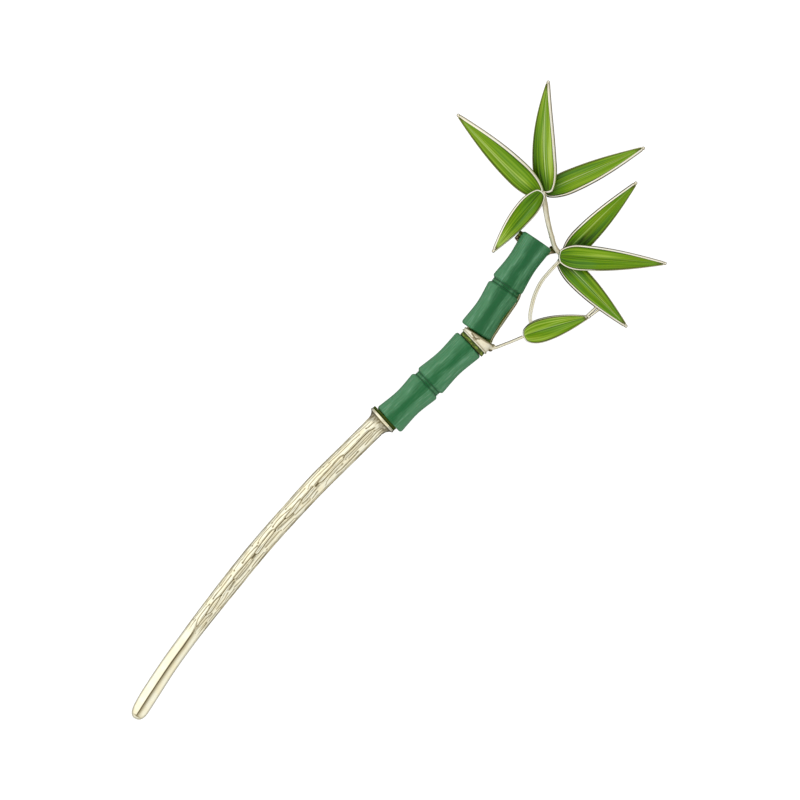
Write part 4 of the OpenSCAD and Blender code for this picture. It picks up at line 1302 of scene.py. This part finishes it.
def add_grain_group():
    """Fine unevenness of a polished surface: a roughness and a height."""
    sketch, given = new_group(
        "surface_grain", {"Vector": "Vector", "Scale": "Float", "Low": "Float", "High": "Float"},
        {"Roughness": "Float", "Height": "Float"})
    coarse = sketch.noise(given["Vector"], sketch.times(given["Scale"], 0.25), 3.0)
    fine = sketch.noise(given["Vector"], given["Scale"])
    rough = sketch.step(coarse, 0.3, 0.7, given["Low"], given["High"])
    height = sketch.add(sketch.times(coarse, 0.6), sketch.times(fine, 0.4))
    sketch.node("NodeGroupOutput", None, Roughness=rough, Height=height)


def add_plating_group(colours):
    """Colour and roughness of plated metal, from clear plating through tan and brown painted shade to green painted
    reflection and near black painted shadow.
    """
    sketch, given = new_group(
        "plating",
        {"Vector": "Vector", "Recess": "Float", "Bright": "Color", "Warm": "Color", "Grain": "Float",
         "Matt": "Float"},
        {"Color": "Color", "Roughness": "Float"})
    recess = given["Recess"]
    cloud = sketch.noise(given["Vector"], 420.0)
    colour = sketch.blend(sketch.step(cloud, 0.35, 0.7), given["Bright"], given["Warm"])
    shades = ((0.0, TAN, colours.tan_shade), (TAN, BROWN, colours.recess), (BROWN, SEAT_GREEN, colours.seat_green),
              (SEAT_GREEN, SEAT_SHADOW, colours.shadow))
    for start, full, shade in shades:
        depth = sketch.math("MULTIPLY", sketch.minus(recess, start), 1 / (full - start), clamp=True)
        colour = sketch.blend(depth, colour, shade)
    rough = sketch.add(sketch.add(given["Grain"], sketch.times(recess, 0.25)), given["Matt"])
    sketch.node("NodeGroupOutput", None, Color=colour, Roughness=rough)


def add_bead_group(colours):
    """Colour of a bead in its own axes: streaks along it, a deep band on top as a painted dark reflection, lighter
    painted sides, one side painted darker as shade, painted highlight streaks, and the lines of its groove painted
    dark as shade.
    """
    sketch, given = new_group(
        "bead_streaks_and_painted_light",
        {"Vector": "Vector", "Deep": "Color", "Band": "Float", "Far Side": "Float", "Near Side": "Float"},
        {"Color": "Color"})
    along = given["Vector"]
    streaked = sketch.stretch(along, STREAK_SCALE)
    broad = sketch.noise(streaked, 700.0)
    fine = sketch.noise(streaked, 2600.0)
    cloud = sketch.noise(along, 260.0)
    amount = sketch.add(sketch.times(broad, 0.42), sketch.times(fine, 0.50))
    amount = sketch.add(amount, sketch.times(cloud, 0.15))
    place = sketch.split(along)
    turned = sketch.math("ARCTAN2", place[2], place[1])
    wander = sketch.times(sketch.minus(sketch.noise(along, 190.0), 0.5), 0.45)
    turned = sketch.add(sketch.minus(turned, math.radians(92.0)), wander)
    from_top = sketch.math("ABSOLUTE", turned)
    # A deep band along the top, a painted dark reflection of the opening overhead
    band = sketch.step(from_top, math.radians(2.0), math.radians(30.0), given["Band"], 0.16)
    amount = sketch.add(amount, band)
    # One side painted darker as shade and the other lighter
    low = sketch.step(turned, math.radians(-10.0), math.radians(78.0), given["Far Side"], given["Near Side"])
    amount = sketch.minus(amount, low)
    # The sides painted lighter, as light from the side panels
    amount = sketch.add(amount, sketch.step(from_top, math.radians(45.0), math.radians(75.0), 0.0, 0.10))
    colour = sketch.blend(sketch.step(amount, 0.30, 0.76), given["Deep"], colours.jade_light)
    # Painted highlight streaks in the light parts
    shine = sketch.times(sketch.step(fine, 0.53, 0.68), sketch.step(amount, 0.55, 0.80, 0.0, 0.65))
    colour = sketch.blend(shine, colour, colours.jade_pale)
    # The groove's two lines painted dark as shade
    from_groove = sketch.apart(place[0], (GROOVE_START + GROOVE_WIDTH / 2) * MM)
    line = sketch.step(sketch.apart(from_groove, 0.45 * MM), 0.08 * MM, 0.32 * MM, 0.80, 0.0)
    colour = sketch.blend(line, colour, tinted(colours.jade_deep, 0.65))
    sketch.node("NodeGroupOutput", None, Color=colour)


def add_leaf_group(colours):
    """Colour of leaf enamel: greens across and along the leaf, streaks, a base of painted shade, a pale streak as a
    painted highlight, a dark vein, and edges painted dark as shadow under the rim.
    """
    names = ("Along", "Across", "Seed") + tuple(name.replace("_", " ") for name in LOOK_NAMES)
    sketch, given = new_group(
        "leaf_streaks_and_painted_light", {name: "Float" for name in names}, {"Color": "Color", "Height": "Float"})
    along, across = given["Along"], given["Across"]

    def lines(stretch_along, stretch_across, detail):
        vector = sketch.node("ShaderNodeCombineXYZ", None, X=sketch.times(along, stretch_along),
                             Y=sketch.times(across, stretch_across), Z=given["Seed"]).outputs[0]
        return sketch.noise(vector, 1.0, detail)

    broad = lines(1.3, 6.0, 1.0)
    fine = sketch.step(lines(1.3, 15.0, 0.0), 0.32, 0.68)
    mixed = sketch.add(sketch.times(broad, 0.70), sketch.times(fine, 0.30))
    near_vein = sketch.step(sketch.apart(across, 0.5), 0.0, 0.24, 1.0, 0.0)
    shade = sketch.between(sketch.step(across, 0.12, 0.88), given["Left"], given["Right"])
    shade = sketch.between(near_vein, shade, given["Middle"])
    shade = sketch.between(sketch.step(along, 0.50, 0.95), shade, given["Tip"])
    # The base is painted as shade where other leaves lie over it, reaching further on one side
    leaning = sketch.times(sketch.minus(across, 0.5), given["Base Lean"])
    from_base = sketch.minus(along, leaning)
    shade = sketch.between(sketch.step(from_base, 0.0, given["Base Reach"], 1.0, 0.0), shade, given["Base"])
    shade = sketch.add(shade, sketch.times(sketch.minus(mixed, 0.5), 1.15))
    ramp = sketch.node("ShaderNodeValToRGB", None, Fac=shade)
    stops = ramp.color_ramp.elements
    greens = [tinted(colours.leaf_deep, 0.28), colours.leaf_deep, colours.leaf_mid, colours.leaf_yellow,
              colours.leaf_pale]
    while len(stops) < len(greens):
        stops.new(0.5)
    for number, green in enumerate(greens):
        stops[number].position = number / (len(greens) - 1)
        stops[number].color = (*green, 1.0)
    cloud = lines(2.2, 2.6, 1.0)
    base = sketch.blend(sketch.step(cloud, 0.50, 0.70, 0.0, 0.28), ramp.outputs[0], colours.leaf_cool)
    base = sketch.blend(sketch.step(cloud, 0.32, 0.48, 0.30, 0.0), base, colours.leaf_olive)
    # The pale streak is a painted highlight
    pair = sketch.apart(sketch.apart(across, given["Pale Place"]), given["Pale Gap"])
    pale = sketch.step(sketch.math("DIVIDE", pair, given["Pale Width"]), 0.0, 1.0, 1.0, 0.0)
    pale = sketch.times(pale, sketch.step(fine, 0.0, 1.0, 0.35, 1.0))
    pale = sketch.times(pale, sketch.step(along, 0.04, 0.25))
    base = sketch.blend(sketch.times(pale, given["Pale Strength"]), base, whitened(colours.leaf_pale, 0.22))
    vein = sketch.step(sketch.apart(across, 0.485), 0.004, 0.024, 1.0, 0.0)
    base = sketch.blend(sketch.times(vein, given["Vein"]), base, tinted(colours.leaf_deep, 0.35))
    # A painted shadow along the edges, under the rim
    edge = sketch.step(sketch.apart(across, 0.5), 0.425, 0.485)
    base = sketch.blend(sketch.times(edge, 0.85), base, (0.038, 0.046, 0.004))
    tip = sketch.step(along, 0.93, 1.0)
    base = sketch.blend(sketch.times(tip, 0.75), base, (0.085, 0.065, 0.012))
    sketch.node("NodeGroupOutput", None, Color=base, Height=mixed)


def new_material(name):
    """An empty node material and its sketch."""
    material = bpy.data.materials.new(name)
    material.use_nodes = True
    return material, Sketch(material.node_tree)


def finish_material(sketch, height, strength, distance, settings, **linked):
    """The material's shader with its constant settings, its linked inputs and its bump."""
    bumped = sketch.node("ShaderNodeBump", None, Height=height, Strength=strength, Distance=distance)
    shader = sketch.node("ShaderNodeBsdfPrincipled", None, Normal=bumped.outputs[0], **linked)
    for name, value in settings.items():
        shader.inputs[name].default_value = value
    sketch.node("ShaderNodeOutputMaterial", None, Surface=shader.outputs[0])


def plated_metal(name, colours, painted_sheen=0.0, satin=0.0):
    """Pale gold plating over a casting, with its painted shade, brown in its grooves; the sheen setting whitens it
    as a painted highlight, and satin makes it matt.
    """
    _, sketch = new_material(name)
    place = sketch.object_place()
    recess = sketch.node("ShaderNodeAttribute", {"attribute_name": "recess"}).outputs["Fac"]
    grain = place_group(sketch, "surface_grain", Vector=place, Scale=2600.0, Low=0.13, High=0.26)
    bright = whitened(colours.metal, painted_sheen)
    warm = [c * k for c, k in zip(bright, (1.0, 0.955, 0.86))]
    look = place_group(sketch, "plating", Vector=place, Recess=recess, Bright=bright, Warm=warm,
                       Grain=grain["Roughness"], Matt=0.3 * satin)
    finish_material(sketch, grain["Height"], 0.12, 0.04 * MM, {"Metallic": 1 - satin},
                    Base_Color=look["Color"], Roughness=look["Roughness"])


def jade_resin(name, start, turn, colours, low_side=0.0):
    """Satin green resin with faint streaks along the bead and painted light and shade; low_side paints one side
    darker as shade and the other lighter.
    """
    material, sketch = new_material(name)
    moved = sketch.node("ShaderNodeVectorMath", {"operation": "SUBTRACT"}, i0=sketch.object_place(),
                        i1=[c * MM for c in start]).outputs[0]
    along = sketch.stretch(moved, (1, 1, 1), (0, 0, math.radians(-turn)))
    look = place_group(sketch, "bead_streaks_and_painted_light", Vector=along, Deep=tinted(colours.jade_deep, 1 - 0.6 * low_side),
                       Band=-0.20 - 0.6 * low_side, Far_Side=-0.15 * low_side, Near_Side=1.2 * low_side)
    grain = place_group(sketch, "surface_grain", Vector=sketch.stretch(along, STREAK_SCALE), Scale=2200.0,
                        Low=0.26, High=0.42)
    finish_material(
        sketch, grain["Height"], 0.25, 0.06 * MM,
        {"IOR": 1.5, "Specular IOR Level": 0.30, "Coat Weight": 0.08, "Coat Roughness": 0.25,
         "Subsurface Weight": 0.10, "Subsurface Scale": 1.2 * MM},
        Base_Color=look["Color"], Roughness=grain["Roughness"])
    return material


def leaf_enamel(number, looks):
    """Glossy leaf enamel with its own streaks, a painted highlight streak and painted shade."""
    material, sketch = new_material(f"leaf_enamel_{number}")
    flat = sketch.split(sketch.node("ShaderNodeUVMap", {"uv_map": "UVMap"}).outputs[0])
    look = place_group(sketch, "leaf_streaks_and_painted_light", Along=flat[0], Across=flat[1], Seed=3.7 * number,
                       **dict(zip(LOOK_NAMES, looks)))
    grain = place_group(sketch, "surface_grain", Vector=sketch.object_place(), Scale=1400.0, Low=0.18, High=0.28)
    finish_material(
        sketch, look["Height"], 0.2, 0.12 * MM,
        {"IOR": 1.5, "Specular IOR Level": 0.13, "Coat Weight": 0.04, "Coat Roughness": 0.12},
        Base_Color=look["Color"], Roughness=grain["Roughness"])
    return material


def floor_finish():
    """Pale floor, white to the camera; in reflections it is darker close round the object, a painted shade from an
    occlusion node.
    """
    material, sketch = new_material("pale_floor")
    near = sketch.node("ShaderNodeAmbientOcclusion", {"samples": 8}, Distance=0.012).outputs["AO"]
    tone = sketch.step(near, 0.70, 0.98, 0.04, 0.62)
    colour = sketch.node("ShaderNodeCombineColor", None, i0=tone, i1=tone, i2=tone).outputs[0]
    matt = sketch.node("ShaderNodeBsdfDiffuse", None, Color=colour)
    white = sketch.node("ShaderNodeEmission", None, Color=(1, 1, 1, 1), Strength=0.95)
    lit = sketch.node("ShaderNodeBsdfDiffuse", None, Color=(0.25, 0.25, 0.25, 1))
    seen = sketch.node("ShaderNodeAddShader", None, i0=white.outputs[0], i1=lit.outputs[0])
    camera_ray = sketch.node("ShaderNodeLightPath").outputs["Is Camera Ray"]
    both = sketch.node("ShaderNodeMixShader", None, i0=camera_ray, i1=matt.outputs[0], i2=seen.outputs[0])
    sketch.node("ShaderNodeOutputMaterial", None, Surface=both.outputs[0])
    return material


class HAIRSTICK_OT_blade(bpy.types.Operator):
    """Add the cast blade with its bark relief, ferrule and tang"""

    bl_idname = "hairstick.blade"
    bl_label = "Add Blade"

    def execute(self, context):
        add_blade(context.scene.stick_sizes, bpy.data.materials["plated_gold"])
        return {"FINISHED"}


class HAIRSTICK_OT_beads(bpy.types.Operator):
    """Add the two green bamboo beads"""

    bl_idname = "hairstick.beads"
    bl_label = "Add Beads"

    def execute(self, context):
        sizes = context.scene.stick_sizes
        colours = context.scene.stick_colours
        lower = jade_resin("lower_resin", LOWER_START, LOWER_TURN, colours)
        upper = jade_resin("upper_resin", UPPER_START, UPPER_TURN, colours, low_side=0.20)
        add_bead("lower_bamboo_bead", LOWER_START, LOWER_TURN, sizes, lower, "lower_bead")
        add_bead("upper_bamboo_bead", UPPER_START, UPPER_TURN, sizes, upper, "upper_bead", flat=UPPER_FLAT)
        return {"FINISHED"}


class HAIRSTICK_OT_branch(bpy.types.Operator):
    """Add the collar, the backing plate, the strap and the twigs"""

    bl_idname = "hairstick.branch"
    bl_label = "Add Branch"

    def execute(self, context):
        metal = bpy.data.materials["plated_gold"]
        satin = bpy.data.materials["satin_gold"]
        add_collar(satin)
        add_plate(metal)
        add_strap(metal)
        add_twigs(satin)
        return {"FINISHED"}


class HAIRSTICK_OT_leaves(bpy.types.Operator):
    """Add the eight leaf cells and their enamel"""

    bl_idname = "hairstick.leaves"
    bl_label = "Add Leaves"

    def execute(self, context):
        sizes = context.scene.stick_sizes
        metal = bpy.data.materials["bright_rim"]
        leaves = zip(LEAF_ROWS, RIM_WIDTHS, RIM_GREENS, LEAF_LOOKS)
        for number, (row, widths, rim_tints, looks) in enumerate(leaves, 1):
            add_leaf_cell(number, row, widths, rim_tints, sizes, metal)
            add_leaf_enamel(number, row, widths, sizes, leaf_enamel(number, looks))
        return {"FINISHED"}


class HAIRSTICK_OT_finishes(bpy.types.Operator):
    """Make the shared surface effects and the three metals"""

    bl_idname = "hairstick.finishes"
    bl_label = "Make Finishes"

    def execute(self, context):
        colours = context.scene.stick_colours
        add_grain_group()
        add_plating_group(colours)
        add_bead_group(colours)
        add_leaf_group(colours)
        plated_metal("plated_gold", colours)
        # bright_rim is the plating whitened as a painted highlight; satin_gold is whitened a little too
        plated_metal("bright_rim", colours, painted_sheen=0.28)
        plated_metal("satin_gold", colours, painted_sheen=0.05, satin=0.8)
        return {"FINISHED"}


# Stage: what the camera looks down on, in metres, the size of its sensor in millimetres, the way to the dark
# opening overhead, the floor's half width and how far it lies under the stick
CAMERA_TARGET = (0.0075, -0.00149, 0.003)
SENSOR = 36.0
OPENING_WAY = (0.0, -0.139, 0.990)
FLOOR_HALF = 6.0
FLOOR_DROP = 0.00002


def add_panel(name, place, size, power, colour):
    """A soft light panel that faces the object."""
    light = bpy.data.lights.new(name, "AREA")
    light.shape = "RECTANGLE"
    light.size, light.size_y = size
    light.energy = power
    light.color = colour
    panel = bpy.data.objects.new(name, light)
    panel.location = place
    panel.rotation_euler = Vector(place).to_track_quat("Z", "X").to_euler()
    panel.visible_camera = False
    bpy.context.scene.collection.objects.link(panel)


def set_surround(strength):
    """A pale surround with a dark opening overhead, darker low down and brighter beyond the upper edge."""
    world = bpy.data.worlds.new("surround")
    bpy.context.scene.world = world
    world.use_nodes = True
    sketch = Sketch(world.node_tree)
    way = sketch.node("ShaderNodeTexCoord").outputs["Generated"]
    place = sketch.split(way)
    toward = sketch.node("ShaderNodeVectorMath", {"operation": "DOT_PRODUCT"}, i0=way, i1=OPENING_WAY)
    opening = sketch.step(toward.outputs["Value"], 0.899, 0.985, 1.0, 0.52)
    side = sketch.step(place[1], -0.5, 0.5, 0.88, 1.08)
    low = sketch.step(place[2], 0.0, 0.40, 0.50, 1.0)
    level = sketch.times(sketch.times(opening, side), sketch.times(low, strength))
    seen = sketch.node("ShaderNodeLightPath").outputs["Is Camera Ray"]
    level = sketch.math("MAXIMUM", level, seen)
    back = sketch.node("ShaderNodeBackground", None, Color=(1, 1, 1, 1), Strength=level)
    sketch.node("ShaderNodeOutputWorld", None, Surface=back.outputs[0])


class HAIRSTICK_OT_stage(bpy.types.Operator):
    """Add the camera, the light panels, the surround and the floor"""

    bl_idname = "hairstick.stage"
    bl_label = "Add Stage"

    def execute(self, context):
        stage = context.scene.stage_settings
        camera_data = bpy.data.cameras.new("camera")
        camera_data.lens = stage.lens
        camera_data.sensor_width = SENSOR
        camera = bpy.data.objects.new("camera", camera_data)
        height = stage.field * stage.lens / SENSOR
        camera.location = Vector(CAMERA_TARGET) + Vector((0, 0, height))
        camera.rotation_euler = (0, 0, -stage.roll)
        camera_data.clip_start = height / 10
        camera_data.clip_end = height * 10
        context.scene.collection.objects.link(camera)
        context.scene.camera = camera
        add_panel("bright_panel", (0.0, 0.75, 0.48), (1.7, 0.85), stage.bright_panel, (1.0, 0.995, 0.98))
        add_panel("soft_panel", (0.0, -0.78, 0.42), (1.7, 0.70), stage.soft_panel, (1.0, 0.985, 0.95))
        set_surround(stage.surround)
        bm = bmesh.new()
        bmesh.ops.create_grid(bm, x_segments=2, y_segments=2, size=FLOOR_HALF)
        mesh = bpy.data.meshes.new("floor")
        bm.to_mesh(mesh)
        bm.free()
        mesh.materials.append(floor_finish())
        floor = bpy.data.objects.new("floor", mesh)
        floor.location = (0, 0, cad_box[0][2] - FLOOR_DROP)
        context.scene.collection.objects.link(floor)
        context.scene.view_settings.view_transform = "Standard"
        context.scene.view_settings.look = "None"
        return {"FINISHED"}


STEPS = ("finishes", "blade", "beads", "branch", "leaves", "stage")


class HAIRSTICK_PT_panel(bpy.types.Panel):
    """Sidebar panel with the hair stick's steps and settings"""

    bl_label = "Hair Stick"
    bl_idname = "HAIRSTICK_PT_panel"
    bl_space_type = "VIEW_3D"
    bl_region_type = "UI"
    bl_category = "Hair Stick"

    def draw(self, context):
        for step in STEPS:
            self.layout.operator(f"hairstick.{step}")
        for group in (context.scene.stick_sizes, context.scene.stick_colours, context.scene.stage_settings):
            box = self.layout.box()
            for name in group.__annotations__:
                box.prop(group, name)


CLASSES = (
    StickSizes, StickColours, StageSettings, HAIRSTICK_OT_finishes, HAIRSTICK_OT_blade, HAIRSTICK_OT_beads,
    HAIRSTICK_OT_branch, HAIRSTICK_OT_leaves, HAIRSTICK_OT_stage, HAIRSTICK_PT_panel,
)


def register():
    """Registers the classes and hangs the settings on the scene."""
    for cls in CLASSES:
        bpy.utils.register_class(cls)
    bpy.types.Scene.stick_sizes = PointerProperty(type=StickSizes)
    bpy.types.Scene.stick_colours = PointerProperty(type=StickColours)
    bpy.types.Scene.stage_settings = PointerProperty(type=StageSettings)


def unregister():
    """Takes the settings off the scene and unregisters the classes."""
    del bpy.types.Scene.stage_settings
    del bpy.types.Scene.stick_colours
    del bpy.types.Scene.stick_sizes
    for cls in reversed(CLASSES):
        bpy.utils.unregister_class(cls)


def main():
    """Builds the whole hair stick."""
    register()
    for step in STEPS:
        getattr(bpy.ops.hairstick, step)()


if __name__ == "__main__":
    main()
